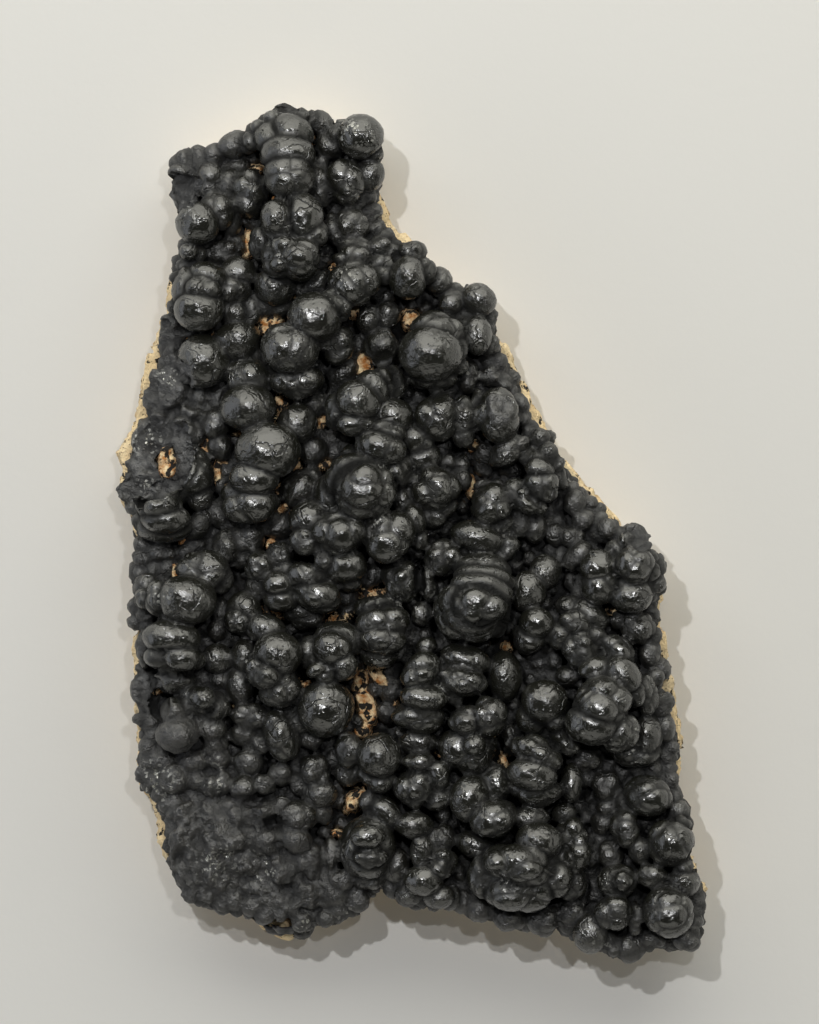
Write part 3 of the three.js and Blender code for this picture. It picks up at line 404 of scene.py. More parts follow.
speckled = add(tree, "Mix", {"Factor": speck_share, "A": body, "B": linear("#5d4026")}, data_type="RGBA")
# Ore that runs into the rock as dark blotches: many in the gaps of the crust, fewer along the edges
vein_cloud = add(tree, "TexNoise", {"Vector": where, "Scale": 1000 / 2.2, "Detail": 4.0, "Roughness": 0.6})
vein_reach = add(tree, "MapRange", {"Value": stain_value, "To Min": 0.39, "To Max": 0.48})
vein_depth = add(tree, "Math", {0: vein_reach, 1: vein_cloud}, operation="SUBTRACT")
vein = add(tree, "MapRange", {"Value": vein_depth, "From Min": -0.01, "From Max": 0.02})
veined = add(tree, "Mix", {"Factor": vein, "A": speckled, "B": linear("#1d1813")}, data_type="RGBA")
grain = add(tree, "TexNoise", {"Vector": where, "Scale": 1000 / 1.1, "Detail": 5.0})
gritty = add(tree, "Bump", {"Height": grain, "Distance": 0.0012})
stone_skin = add(tree, "BsdfPrincipled", {
    "Base Color": veined, "Roughness": 0.86, "IOR": 1.52, "Normal": gritty,
})
tree.links.new(stone_skin.outputs[0], stone_out.inputs["Surface"])
rock.data.materials.append(stone)
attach(rock, "root")
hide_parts("matrix")

# Manganite crust: manganese ore that grew out of the rock as grape-like domes, layer on layer, until they
# touched and fused. Each is a bulb on a narrower stem. Low down it is granular, rough and darkened by painted
# shade; breaks are dull.
# Every dome: x, y, half length, half width, turn of its length, height of its top.
DOMES = np.array([
    # The top spire and the two corners beside it
    (-31.5, 103.5, 4.5, 3.9, 0, 33), (-36, 102, 3.4, 3.6, 0, 30), (-35.2, 98.3, 4.2, 4.2, 0, 37),
    (-30, 99.6, 5.2, 4.6, -20, 38), (-31, 94.2, 6.2, 4.6, 0, 41), (-31, 88.8, 5.9, 5.5, 0, 43),
    (-41, 84.8, 4.7, 5.4, 0, 35), (-45.3, 86.3, 3.2, 4.2, 0, 32), (-51, 88.3, 4.2, 4.2, 0, 32),
    (-54.2, 91.6, 2.6, 2.8, 0, 28), (-44, 91.3, 3.4, 2.2, 10, 28), (-44.5, 97, 4.4, 3.3, 20, 31),
    (-49.5, 94.8, 3.6, 2.8, 25, 29), (-56.5, 94, 3.4, 2.8, 10, 26), (-58.2, 85, 2.6, 5, 10, 24),
    (-23.6, 102.8, 3.6, 3, 0, 30), (-12.8, 98.8, 5.8, 5.5, 0, 39), (-9.4, 95.2, 2.6, 2.4, 0, 35),
    (-20.5, 97, 3.8, 3.6, 0, 31), (-10.5, 89.6, 3.6, 4.4, 0, 34), (-22.8, 92.4, 2, 1.9, 0, 30),
    (-22.9, 86.3, 3.5, 5.2, 0, 34), (-16.8, 87, 4.8, 5.6, 0, 37), (-12.8, 83.6, 2.3, 2.2, 0, 31),
    # The shoulder under the spire
    (-53.5, 77.2, 5.4, 5.3, 0, 38), (-49, 80.3, 4.4, 4.7, 0, 35), (-45.5, 78, 2.5, 3.6, 0, 31),
    (-55.3, 71.5, 3.6, 3.2, 0, 29), (-46.8, 70.8, 5, 3.1, 22, 30), (-58.7, 67, 2, 3, 0, 25),
    (-32.4, 77.8, 4.8, 5.6, 0, 44), (-27.6, 78.6, 4.8, 5.2, 0, 44), (-24.7, 73.8, 3.8, 3.6, -20, 42),
    (-30.3, 68.2, 7, 5.3, -5, 46), (-37.6, 72, 2.8, 4.6, 10, 36), (-15.3, 76.8, 4.2, 3.9, 0, 34),
    (-19.5, 75.2, 2.9, 4.2, 10, 33), (-10.4, 76, 2.1, 2.6, 20, 28), (-7.6, 71.3, 3.9, 3.1, 0, 34),
    (-7.8, 67.2, 3.1, 2.2, 0, 35), (-7.1, 64.3, 2.9, 2.9, 0, 36), (-14.6, 71, 4.2, 2.8, 0, 35),
    (-14.8, 68.6, 4.8, 2.6, 0, 38), (-14.3, 62.2, 5.9, 5.7, 0, 42), (0.2, 70, 3.9, 3, -30, 35),
    (-0.9, 63.4, 4.5, 5.2, 0, 40), (3.2, 65, 3, 3.6, 10, 37), (6.6, 63, 3.6, 3.4, -35, 33),
    # The upper left field
    (-56.2, 60.3, 4, 5.8, 0, 38), (-51, 63.8, 4.4, 3.2, -20, 38), (-52.4, 60.4, 4.6, 3.6, -10, 40),
    (-53.2, 55.6, 5.8, 5, 0, 41), (-43.4, 65, 4, 3.6, 0, 35), (-44.8, 60.6, 4, 3.6, 0, 36),
    (-40.6, 56, 3.4, 3.6, 0, 33), (-44.3, 55, 3.6, 3.2, 0, 34), (-43.7, 47.9, 5.2, 4.3, 0, 36),
    (-34.2, 61.6, 4.5, 4.6, 0, 36), (-36.8, 56.9, 2.5, 2.8, 0, 32), (-33, 56.4, 2.9, 2.4, 0, 32),
    (-24.6, 62.4, 4.8, 3.2, 32, 33), (-52.3, 42.7, 5.8, 6.1, 0, 38), (-60.3, 52.5, 3.2, 2.8, 0, 27),
    (-61.7, 48.5, 2.4, 5.4, 0, 25), (-59.3, 43, 2.5, 2.6, 0, 27), (-60.8, 36.3, 5.4, 5.6, 0, 30),
    (-64.6, 33.5, 3.2, 3.6, 0, 26), (-53, 33.7, 2.9, 2.9, 0, 30), (-48.8, 33.4, 1.9, 2.5, 0, 29),
    (-47.2, 37.2, 2.2, 2.4, 0, 28), (-39.6, 43.6, 3.2, 2.6, 0, 32), (-40.7, 38.6, 5.6, 4.4, 0, 37),
    (-41, 31, 6.3, 5.3, 0, 41), (-30.2, 46, 6.6, 5.9, 0, 45), (-28.6, 37.7, 5.9, 4.2, 0, 39),
    (-24.2, 53.6, 6, 5.6, 0, 45), (-20, 56.4, 4.8, 3.8, -20, 42), (-18.8, 46.8, 4.3, 4.4, 0, 38),
    (-28.7, 27.4, 4.6, 4.6, 0, 36), (-24.3, 31.6, 3.6, 3.2, 30, 31), (-56.4, 25, 4.2, 4.6, 0, 32),
    (-55.6, 29.6, 2.6, 2.4, 0, 31), (-49.4, 27.2, 3.5, 3.9, 0, 33), (-47.9, 21.2, 2.9, 3.2, 0, 32),
    (-66.2, 19.5, 10.5, 4.8, 75, 28),
    # The upper right field
    (-4.9, 37.3, 3.4, 4, -10, 37), (-7.4, 37.4, 3.8, 3.8, 0, 39), (-10, 35.8, 4.2, 4.2, 0, 41),
    (-13.6, 32.6, 5, 4.8, -30, 44), (-17.6, 30, 4, 4.8, 0, 41), (-14.4, 27.2, 4.6, 3, 0, 43),
    (-4.9, 28.8, 4.4, 4, 0, 40), (6.1, 28.8, 4.8, 5.4, 0, 39), (12.3, 28.6, 3, 4.6, 0, 36),
    (13, 24, 2.7, 2.8, 0, 35), (21.3, 29, 5.6, 6.2, 0, 39), (16.6, 31.5, 1.6, 4, 0, 33),
    (4.7, 44.6, 7, 6.2, 0, 46), (6.6, 50, 6.4, 4.6, 0, 42), (11, 46, 2.8, 4.2, 0, 40),
    (11.6, 41.8, 2.3, 2.4, 0, 38), (5.4, 38.4, 5.4, 3.2, 0, 37), (16.2, 49.2, 3.8, 5, 0, 36),
    (13.6, 49.6, 2.6, 4.2, 0, 34), (10.2, 57.2, 3.5, 3.6, 0, 33), (16.8, 58.2, 4.4, 4, -35, 34),
    (13.8, 39.1, 2.7, 4, 0, 30), (19.9, 39.2, 2.7, 2.7, 0, 29), (21.5, 42.8, 2.8, 2.2, -20, 28),
    (25.2, 38.5, 2.3, 2.3, 0, 26), (-7.7, 46.2, 4.3, 4.7, 0, 35), (-6.2, 54.3, 3, 3.2, 0, 34),
    (-10.6, 53, 3.3, 3.6, 0, 34), (-6.9, 58.8, 2.4, 2.6, 0, 30), (-13.7, 47, 1.7, 2.7, 0, 29),
    (-17.3, 39.8, 4.5, 3.1, 48, 31),
    # The two columns in the middle
    (-36, 20.2, 7.2, 6.4, 0, 44), (-39.4, 13.4, 5.6, 4, 0, 43), (-40.6, 7.4, 7.2, 5.6, -8, 41),
    (-6.6, 24.3, 4.6, 3.2, -10, 42), (-8, 21.2, 5.7, 4.2, -10, 44), (-14.6, 18.6, 3.2, 3, 0, 37),
    (-4.8, 15.4, 4.4, 4.4, -30, 39), (-12, 10.8, 7.6, 6.5, -8, 49), (-13.4, 12.6, 7.6, 6.2, -5, 46.5),
    (-20, 9.3, 4, 5.4, 0, 38), (-18, 0, 6.3, 5, -5, 44), (-16.9, -8.3, 5, 3.8, 0, 40),
    (-22, -6.8, 2.5, 3, 0, 40), (-16, -12.7, 3.3, 2, 0, 34), (-5.6, -1, 5.8, 6, 0, 43),
    (0.6, 3.4, 2.5, 3.6, 20, 37), (2, -1.8, 1.9, 2.5, -15, 34), (-2.6, 8, 2.3, 2.5, 0, 35),
    (1, 8.3, 2.1, 2.7, 25, 33),
    # The left middle
    (-55.8, 14.2, 5.7, 6.3, 0, 36), (-53.4, 9.2, 3.6, 3.2, 0, 34), (-63, 7.9, 5.8, 5.4, 0, 41),
    (-61.6, 3.6, 5.6, 3.8, -5, 40), (-62.2, 1.4, 7.4, 4, 0, 36), (-67.6, 2.6, 2.8, 2.8, 0, 33),
    (-53.6, 1.8, 4.2, 2.8, 50, 32), (-70, 6.6, 2.2, 2.4, 0, 28), (-48.4, 4.8, 2.8, 3.2, 0, 30),
    (-27.5, 11.2, 5.8, 4.2, 50, 33), (-24.9, 20.3, 3.4, 3.2, 0, 31), (-33.6, 1.8, 3.6, 3.3, 20, 29),
    (-46, -3.6, 3.7, 4.2, 0, 32), (-41.4, -1.6, 4.1, 4, 0, 32), (-42.6, -6.2, 3, 3, 0, 30),
    (-52, -10, 6.5, 4.8, -12, 37), (-47.6, -11.6, 2.9, 3.6, 0, 35), (-56.2, -16.9, 6.6, 5.3, -8, 43),
    (-62.4, -16.8, 3.8, 4.9, 0, 39), (-63, -5, 3.7, 2.5, 0, 29), (-56.4, -5.6, 2.6, 2.6, 0, 28),
    (-65, -9.8, 2.5, 3.1, 0, 28), (-61.4, -9.5, 2.6, 2.6, 0, 28), (-69.6, -10.2, 1.7, 3.5, 0, 25),
    (-69.2, -18.5, 2.3, 2.3, 0, 26), (-69.3, -22.8, 2.5, 2.1, 0, 25), (-66, -18, 2.2, 3, 0, 28),
    (-42, -20.3, 4.2, 4.9, 0, 36), (-43.4, -22, 3.2, 3.2, 0, 37), (-48.2, -19.6, 2, 3, 0, 29),
    (-48.7, -24.6, 2.4, 2.6, 0, 29), (-38, -8.8, 3.5, 3.7, 0, 36), (-33, -5.8, 3.3, 3.1, 0, 35),
    (-31.5, -9.6, 2.6, 2.6, 0, 35), (-38.3, -13.4, 3.2, 3.2, 0, 34), (-33.4, -13, 3.5, 2.8, 0, 38),
    (-32.8, -16.4, 3.8, 3.2, 0, 37), (-26, -11.4, 4.6, 3.5, -20, 39), (-23.6, -15.6, 5.9, 4, -15, 40),
    (-25.6, 2.8, 4.7, 4.6, 0, 39), (-26.5, -2, 3.7, 3.6, 0, 40), (-26.8, -20.6, 4.7, 3.4, -15, 33),
    # The right middle
    (1.4, 23.2, 3.8, 4.2, 0, 37), (2.6, 18.8, 4, 3.4, 0, 36), (5.8, 11, 5.6, 4.9, 0, 40),
    (5.6, 4.6, 3.2, 3.4, 0, 35), (8.3, 6.6, 2.9, 3, 0, 35), (8.9, 17.4, 2.4, 2.3, 0, 31),
    (12.5, 17, 2.2, 2.1, 0, 30), (12.8, 13.2, 1.9, 2.5, 0, 31), (20.1, 6.8, 4.8, 4.8, 0, 38),
    (21.5, 2.8, 4.2, 2.7, -15, 35), (18.6, 11, 2.7, 2, 0, 31), (21.8, 11.4, 2.3, 1.8, 0, 31),
    (16.4, -1.3, 6.2, 3.4, -16, 37), (24, -4.2, 2.5, 3.2, -15, 34), (8, -6.5, 4.7, 4, 15, 36),
    (24, 20, 6.1, 3.3, 35, 35), (32.4, 17.3, 5, 3.5, 0, 36), (31.7, 15.6, 3.4, 2.7, -15, 39),
    (32.4, 11.6, 4.2, 3.6, -40, 40), (36.2, 14.6, 2.5, 4.4, 25, 34), (28.5, 8.4, 5.6, 3.8, -38, 39),
    (27.3, 2, 3, 3.1, 0, 33), (30.8, 1, 2.6, 3.6, 0, 32), (33.6, 23.3, 2.8, 2.7, 0, 27),
    (40.6, 7.3, 2.8, 3.1, 0, 30), (44.8, 7.3, 1.8, 1.7, 0, 27), (47.4, 5.8, 1.9, 1.5, -35, 26),
    (42.9, 3.1, 2.7, 2.5, 0, 30), (47.5, 3.4, 2.1, 1.8, 0, 28), (36, -0.6, 2.4, 2.4, 0, 29),
    (39.7, -0.9, 3.1, 2.6, 0, 30), (47.8, -0.6, 3.3, 2.4, 0, 29), (55.8, -0.9, 4, 2.8, -20, 31),
    (47.4, -11, 5.5, 6.3, 0, 40), (55.4, -8.2, 4.8, 4.9, 0, 41), (54.6, -15.8, 4.9, 4.1, 0, 39),
    (52, -4.6, 3.6, 2.4, 0, 35), (58.6, -14.6, 2.2, 3.2, 0, 35), (61.8, -8.8, 2, 3.6, 0, 30),
    (62, -13.6, 1.9, 2.4, 0, 28), (41.6, -6, 3.9, 3, 40, 33), (33.3, -10, 3.6, 3.8, 0, 34),
    (28.9, -15, 4, 4.6, 0, 36),
    # The great nose and the dome split by a slot
    (17.8, -9.8, 6.6, 4.2, -10, 40), (17.8, -12, 6.9, 4.2, -10, 42.5), (17.2, -14.4, 7, 4.2, -10, 45),
    (14.6, -19.8, 9, 7, 0, 47), (16, -18.4, 6.4, 5.2, 0, 49), (21, -18.5, 3.4, 7, 0, 42),
    (-2.6, -11.8, 4.6, 5, 0, 36), (4, -12.6, 2.1, 4.6, 5, 34), (2.4, -20.5, 2.5, 2.6, 0, 31),
    (-10, -11, 3.4, 2.4, 50, 30), (-8.4, -19.4, 5.6, 3.2, 0, 37), (-7.2, -22.8, 5.8, 4.8, 0, 40),
    (-7.6, -26.8, 5.4, 3.6, 0, 41), (-8.2, -31, 4, 2.8, 0, 36), (-16.4, -16, 2.5, 2.5, 0, 29),
    # The lower right field
    (31, -22.8, 3.9, 3.6, 0, 38), (29.4, -26.3, 4.4, 3.6, 0, 36), (39.6, -18.8, 3.6, 2.6, 0, 33),
    (44.5, -20.8, 4.7, 3.2, -35, 35), (40.7, -22.4, 3.7, 2.8, -15, 37), (37, -25.8, 2.9, 3.2, 0, 36),
    (42.3, -29.4, 4.3, 4.4, 0, 38), (46, -26.6, 3.2, 2.2, 0, 36), (51, -29.8, 4.9, 3.2, -35, 37),
    (45.8, -34, 4, 2.8, 10, 40), (52.6, -35.6, 4.6, 3.6, -45, 42), (55.4, -40, 2.4, 3.8, 0, 39),
    (58.4, -40.6, 2.9, 5.5, 8, 36), (47.2, -42.6, 6.8, 6.1, 0, 48), (45.2, -47.2, 6.2, 5.2, 0, 47),
    (51.4, -49.4, 4.6, 4.8, 0, 44), (56.7, -23.8, 4.6, 4.2, -20, 34), (52.4, -22, 2.6, 2.3, 0, 31),
    (59.6, -30.3, 2.8, 3.6, -15, 31), (60.6, -26.4, 1.7, 2.6, 0, 30), (62.6, -34.5, 2.3, 2.9, 0, 27),
    (39.4, -36.2, 3, 2.6, 0, 32), (31.9, -32.6, 2.2, 2, 0, 27), (35.7, -32.4, 2, 2.2, 0, 28),
    (33, -42.6, 5.2, 5.2, 0, 41), (29.8, -46.4, 3.5, 3.9, 0, 38), (35.8, -47.2, 2.7, 2.6, 0, 39),
    (33.2, -49.9, 2.6, 2.2, 0, 34), (38, -52, 4.6, 3, -48, 37), (43.6, -56.6, 4.6, 3.5, 0, 32),
    (58.2, -51, 3.9, 5, 0, 35), (56, -54.6, 5.6, 4, 0, 34), (63.8, -49, 2.2, 3.5, 0, 30),
    (63.5, -56, 2, 2.3, 0, 28), (63, -43.5, 2.6, 2.1, 0, 28), (31.2, -55.2, 6.2, 3.6, -25, 45),
    (29.9, -60.2, 5.6, 3.8, -12, 46), (31.4, -64.6, 6.1, 3.4, 0, 41), (39.9, -62.6, 2.5, 4.3, 0, 37),
    # The lower middle
    (-18.6, -27.4, 5.6, 4.6, 0, 39), (-19.8, -29, 4.3, 3.9, 0, 42), (-21.6, -34.6, 4.4, 2.8, 12, 41),
    (-17.2, -33.4, 3.5, 3.4, 0, 41), (-25.4, -30.2, 3, 4, 0, 37), (-21.6, -44, 6.2, 6.4, -15, 41),
    (-28.3, -46.8, 2.8, 3.6, 20, 35), (-25, -51.8, 3, 2.7, 0, 32), (-6.4, -45.3, 2.6, 2.6, 0, 28),
    (-9.5, -39.5, 2.1, 2.3, 0, 27), (3.6, -28.4, 2.4, 1.9, 20, 36), (2.4, -34.7, 5.2, 4.2, 10, 41),
    (2.8, -41.2, 5.4, 3.1, -5, 41), (1.6, -46, 6, 3.8, -5, 39), (13.2, -31.9, 5.7, 3.6, -14, 38),
    (12.9, -37.3, 5.4, 3.3, -10, 41), (10.4, -40.8, 2.8, 2.5, 0, 37), (23.1, -36.2, 3.8, 5.8, 0, 36),
    (1.5, -52.8, 4.5, 2.9, 0, 35), (-15.8, -54.6, 3.2, 4.2, 0, 36), (-16, -60.4, 3, 3.2, 0, 32),
    (-8.3, -56, 4.8, 5.3, 0, 40), (-9, -61.4, 4.3, 3.4, 0, 37), (14, -47, 4.6, 3.6, 0, 41),
    (19.2, -46, 4.2, 4.5, 0, 42), (14.4, -54.4, 6.7, 5.8, 0, 39), (15.5, -53, 2.6, 2.3, 0, 41.5),
    (2, -57.6, 3.8, 2.6, 0, 38), (6.4, -61, 3.3, 3.9, 0, 38), (1.2, -64, 5, 4.6, 0, 38),
    (5.8, -66.5, 3.6, 3, 0, 36), (25, -52, 2.8, 3.9, 0, 31), (14.4, -66.6, 4.3, 5.4, -10, 40),
    (20.3, -71.4, 5.4, 4.3, 22, 43), (21.2, -62.8, 3.7, 4.2, 0, 37), (16, -78.2, 4.6, 3.2, -20, 35),
    (-24.2, -60, 3.7, 4, 0, 33), (-22.8, -65.6, 3.8, 3.2, 0, 33), (-22.6, -70.6, 2.9, 2.4, 0, 31),
    # The lower left field
    (-60, -26.6, 6.8, 4.4, -5, 42), (-59, -31.6, 6.8, 4.2, -5, 42), (-67, -29, 2.4, 5, 0, 32),
    (-59.4, -37, 4.7, 3.3, 0, 34), (-67.6, -39.4, 3.2, 4.4, 0, 28), (-67, -47.4, 3.3, 2.3, 0, 28),
    (-65, -51.7, 2.2, 1.9, 0, 27), (-48.8, -31.7, 3.6, 3.3, 0, 33), (-48.3, -37.2, 2.6, 2.1, 0, 30),
    (-52.6, -36.4, 2.6, 2.4, 0, 29), (-36.4, -24.4, 4.7, 3.4, -15, 38), (-33.6, -30.4, 5.4, 5, 0, 43),
    (-36.9, -35.3, 4.6, 4, -20, 43), (-33, -39, 5, 4.5, 0, 41), (-41.9, -30.8, 2.9, 3.8, 0, 34),
    (-43, -38.4, 3.4, 4.6, 0, 32), (-53, -42.7, 5.2, 3.7, 0, 37), (-59.4, -45, 3.2, 3.4, 0, 37),
    (-58.4, -50.6, 4.9, 4.2, 0, 39), (-49.2, -44.2, 3.4, 4, 0, 36), (-50, -48.7, 3.2, 3.3, 0, 35),
    (-49.4, -53.2, 2.9, 2.6, 0, 33), (-48.4, -56.4, 2.7, 2.7, 0, 32), (-54.4, -57.4, 3.3, 2.7, 0, 32),
    (-40.4, -46.2, 4.2, 3.4, 0, 34), (-42.4, -50.7, 3.4, 2.9, 0, 32), (-38.4, -53.4, 2.8, 2.4, 0, 32),
    (-41, -57.5, 3.4, 3, 0, 32), (-32.5, -50.8, 4.1, 6.4, 12, 37), (-62.6, -57, 3.7, 3.6, 0, 29),
    (-59.2, -61.6, 3.7, 3.5, 0, 32), (-65.4, -62, 3.4, 3.8, 0, 27), (-53.6, -62, 3, 3, 0, 31),
    (-50, -63.6, 2.5, 3, 0, 32), (-47.2, -62.6, 2.2, 2.7, 0, 32), (-42.2, -64, 3.1, 3.1, 0, 33),
    (-36.8, -63.1, 2.6, 2.4, 0, 33), (-33, -60.6, 3, 2.7, 0, 32), (-27.4, -63, 2.8, 2.8, 0, 31),
    # The rough bottom left corner
    (-60, -68.5, 3.6, 2.6, 0, 29), (-56.5, -70.8, 4.8, 3, -5, 31), (-50, -69, 2.8, 2.6, 0, 30),
    (-43.8, -70.9, 3.5, 2.9, -15, 32), (-46.8, -76.8, 6, 3.9, 0, 33), (-54.5, -85.8, 5, 4.4, 30, 28.5),
    (-57.5, -78.6, 4.4, 4, 0, 28), (-47.5, -86.4, 5.2, 4.6, 0, 29), (-42.8, -82.8, 4, 4, 0, 30),
    (-44.5, -92.4, 4.2, 3.4, 15, 27), (-50.5, -91.6, 3.8, 3.4, 0, 26), (-40, -89, 2.8, 2.8, 0, 28),
    (-38.8, -93.6, 4.2, 3.6, 0, 25), (-36.8, -70.6, 3.6, 2.6, 45, 33), (-32.5, -68.6, 2.6, 2.2, 0, 32),
    (-36.4, -77, 4.2, 3.6, 0, 34), (-29, -71.6, 4.8, 4.2, 0, 35), (-29.4, -77, 3.8, 3, 0, 35),
    (-32, -84, 4.8, 4.8, 0, 32), (-26.2, -82, 4.4, 4.6, 0, 32), (-20.2, -81, 1.9, 4.2, 0, 30),
    (-28, -90, 5, 4.2, 0, 28), (-20, -90.4, 4.8, 4.6, 0, 29), (-17.6, -87.4, 2.8, 2.8, 0, 30),
    (-15.4, -93.2, 3.4, 3.4, 0, 25), (-19, -95.6, 4.6, 3.2, 15, 24), (-32.5, -95, 4.6, 3, 0, 24),
    (-33.5, -99.6, 3.4, 2.2, 0, 20), (-28, -99.8, 3.2, 2.8, 0, 20),
    # The bottom edge
    (-10.4, -67.4, 3, 2.6, 0, 34), (-7, -69.6, 4.6, 2.9, -40, 35), (-11.4, -78.6, 6.4, 7.6, 0, 38),
    (-11, -75.8, 4, 2.6, 0, 42), (-10.6, -81, 4.2, 2.7, 0, 40), (-11, -86.2, 4, 3.5, 0, 32),
    (0.4, -73.3, 4.3, 3, 0, 36), (2.2, -79.9, 2.7, 3.8, 0, 36), (8, -76.6, 3.2, 3.2, 0, 34),
    (7.6, -82.8, 3.6, 3.7, 0, 37), (3, -87, 4.5, 3.6, 0, 37), (6.6, -91.2, 3.9, 3.1, 0, 34),
    (-4, -83.5, 3.2, 4.2, 0, 32), (-3.6, -89.2, 4.2, 3.2, -25, 29), (1, -92.5, 3.4, 2.4, -10, 28),
    (7.5, -70.7, 2, 2.2, 0, 31), (29.4, -71.4, 4.5, 2.7, 0, 39), (31.8, -76.9, 5.2, 4.1, -10, 43),
    (40.2, -78.2, 4.5, 6.3, 0, 39), (38.2, -70.3, 2.8, 2.3, 0, 34), (26.4, -83, 8.2, 5.2, -8, 47),
    (27, -89.6, 8.6, 5.2, 5, 43), (18, -86.2, 3.8, 5, 0, 39), (35.6, -86.4, 3.9, 4.3, 0, 41),
    (40.2, -87.8, 3.4, 4.2, 0, 33), (17, -94.6, 3.2, 3.5, 0, 29), (24.6, -96.8, 4.3, 3.5, 0, 30),
    (33, -97, 4.3, 4.3, 0, 31),
    # The bottom right corner
    (49, -64, 3.8, 4.1, 0, 31), (59, -65.8, 5.7, 4.8, -10, 37), (53.8, -67.6, 2.9, 3, 0, 32),
    (67, -70.8, 3, 3.5, 0, 31), (48.6, -69, 2.4, 2.3, 0, 30), (47.8, -73, 2.8, 3, 0, 29),
    (53.3, -74.4, 3.6, 4.3, 0, 35), (64.6, -77.4, 6, 6, 0, 39), (57, -79.7, 2.7, 3.1, 0, 34),
    (49.6, -81, 3.2, 3.4, 0, 31), (60, -86, 3.7, 2.9, 0, 35), (68, -87.4, 3.9, 4.1, 0, 35),
    (51.4, -87.4, 4.5, 3.8, 0, 35), (52.4, -87.4, 2.5, 2.4, 0, 37), (50.4, -95.2, 4.4, 4.1, 0, 36),
    (64, -94.8, 6.2, 5.9, 0, 39), (55.9, -96.6, 2.4, 3.8, 0, 32), (40.8, -95.4, 3.5, 3.5, 0, 30),
    (44.8, -100.4, 4.4, 5.3, 10, 33), (48.6, -102.6, 2.8, 2.9, 0, 30), (54.6, -104.2, 3.8, 3.7, 0, 30),
    (60.4, -102.1, 3.4, 2.8, 0, 29), (68.6, -102.1, 4, 3.4, 0, 29), (72.4, -93.6, 1.6, 2.2, 0, 25),
])

# A dome's depth against its mean radius, where its stem stands, and the level of the crevices' floor
DOME_DEPTH = 0.95
STEM_FOOT = 16.5
CREVICE_FLOOR = 20.8

# The rims above are where the neighbours cut a dome off. Its own reach is fuller, but not past the outline
line, _ = edge_line(300)
edge_gap = np.min(np.linalg.norm(DOMES[:, None, :2] - line[None, :, :2], axis=-1) - line[:, 2], axis=1)
freedom = np.clip((edge_gap - DOMES[:, 2:4].max(axis=1)) / 4, 0, 1)
DOMES[:, 2:4] *= 1.04 + 0.12 * freedom[:, None]


def dome_shells(domes, foot_level, around=30):
    """Closed bulbs, one a row. One parameter runs round a dome. The other runs down its profile: a circle's
    arc from the top to 118 degrees, then the stem, straight down to the foot and in to the axis."""
    turn = np.linspace(0, 2 * np.pi, around, endpoint=False)
    arc = np.radians(np.linspace(0, 118, 17))
    out = np.concatenate([np.sin(arc), [0.83, 0.86, 0.9, 0.02]])
    x, y, half_length, half_width, tilt, top = (domes[:, k, None, None] for k in range(6))
    depth = DOME_DEPTH * (half_length + half_width) / 2
    foot = np.minimum(foot_level, top - 2 * depth)
    neck = top - depth * (1 - math.cos(arc[-1]))
    up = np.concatenate([
        np.broadcast_to(top - depth * (1 - np.cos(arc))[None, :, None], (len(domes), len(arc), 1)),
        neck + (foot - neck) * np.array([0.35, 0.7, 1.0, 1.0])[None, :, None],
    ], axis=1)
    tilt = np.radians(tilt)
    lengthwise = half_length * out[None, :, None] * np.cos(turn)
    sideways = half_width * out[None, :, None] * np.sin(turn)
    shells = np.stack([
        x + lengthwise * np.cos(tilt) - sideways * np.sin(tilt),
        y + lengthwise * np.sin(tilt) + sideways * np.cos(tilt),
        np.broadcast_to(up, lengthwise.shape),
    ], -1)
    return shells


def stacked_faces(count, rows, columns):
    """The quads of count grids laid one after another."""
    one = grid_faces(rows, columns)
    return (one[None] + (np.arange(count) * rows * columns)[:, None, None]).reshape(-1, 4)


# Small domes that the front view hides: rows of them bulge out of the crust's side, up to the large ones
draw = np.random.default_rng(5)
rim, outward = edge_line(185)
beside = np.linalg.norm(rim[:, None, :2] - DOMES[None, :, :2], axis=-1) < 9
brink = np.max(np.where(beside, DOMES[None, :, 5], 0), axis=1)
side_domes = []
for level, size in ((32.5, 3.0), (28.4, 3.2), (24.3, 3.1), (20.8, 3.3), (17.6, 2.8)):
    radius = size * draw.uniform(0.7, 1.15, len(rim))
    inward = 0.88 * radius + rim[:, 2] + draw.uniform(0, 0.8, len(rim))
    where = rim[:, :2] - outward * inward[:, None] + draw.uniform(-0.5, 0.5, (len(rim), 2))
    top = level + 0.9 * radius + draw.uniform(-1.2, 1.2, len(rim))
    row = np.column_stack([where, radius, radius * draw.uniform(0.85, 1.05, len(rim)),
                           draw.uniform(0, 180, len(rim)), top])
    side_domes.append(row[(top + 3 < brink) | (level < 25)])
side_domes = np.concatenate(side_domes)
side_domes = side_domes[draw.random(len(side_domes)) < 0.85]

# Small domes low down in the gaps between the large ones, wherever no rock shows: scattered, and kept where
# the large domes leave the place open and no other one is near
from_hub = np.sqrt(draw.random(9000))[:, None]
tried = HUB + (line[draw.integers(0, len(line), 9000), :2] - HUB) * from_hub * 0.975
cover = np.full(len(tried), CREVICE_FLOOR)
for dome in DOMES:
    share = within(tried, dome)
    depth = DOME_DEPTH * (dome[2] + dome[3]) / 2
    cover = np.maximum(cover, np.where(share > 0, dome[5] - depth * (1 - np.sqrt(np.clip(share, 0, 1))), 0))
cover[np.any([within(tried, knob) > -0.9 for knob in KNOBS], axis=0)] = 99
cover[np.min(np.linalg.norm(tried[:, None] - line[None, :, :2], axis=-1) - line[:, 2], axis=1) < 2.5] = 99
gap_domes = []
for spot in tried[cover < 26]:
    if all(math.dist(spot, other[:2]) > 3.2 for other in gap_domes):
        size = draw.uniform(1.9, 3.5)
        width, turned, top = size * draw.uniform(0.75, 1), draw.uniform(0, 180), draw.uniform(24, 28.5)
        gap_domes.append([*spot, size, width, turned, top])
gap_domes = np.array(gap_domes)

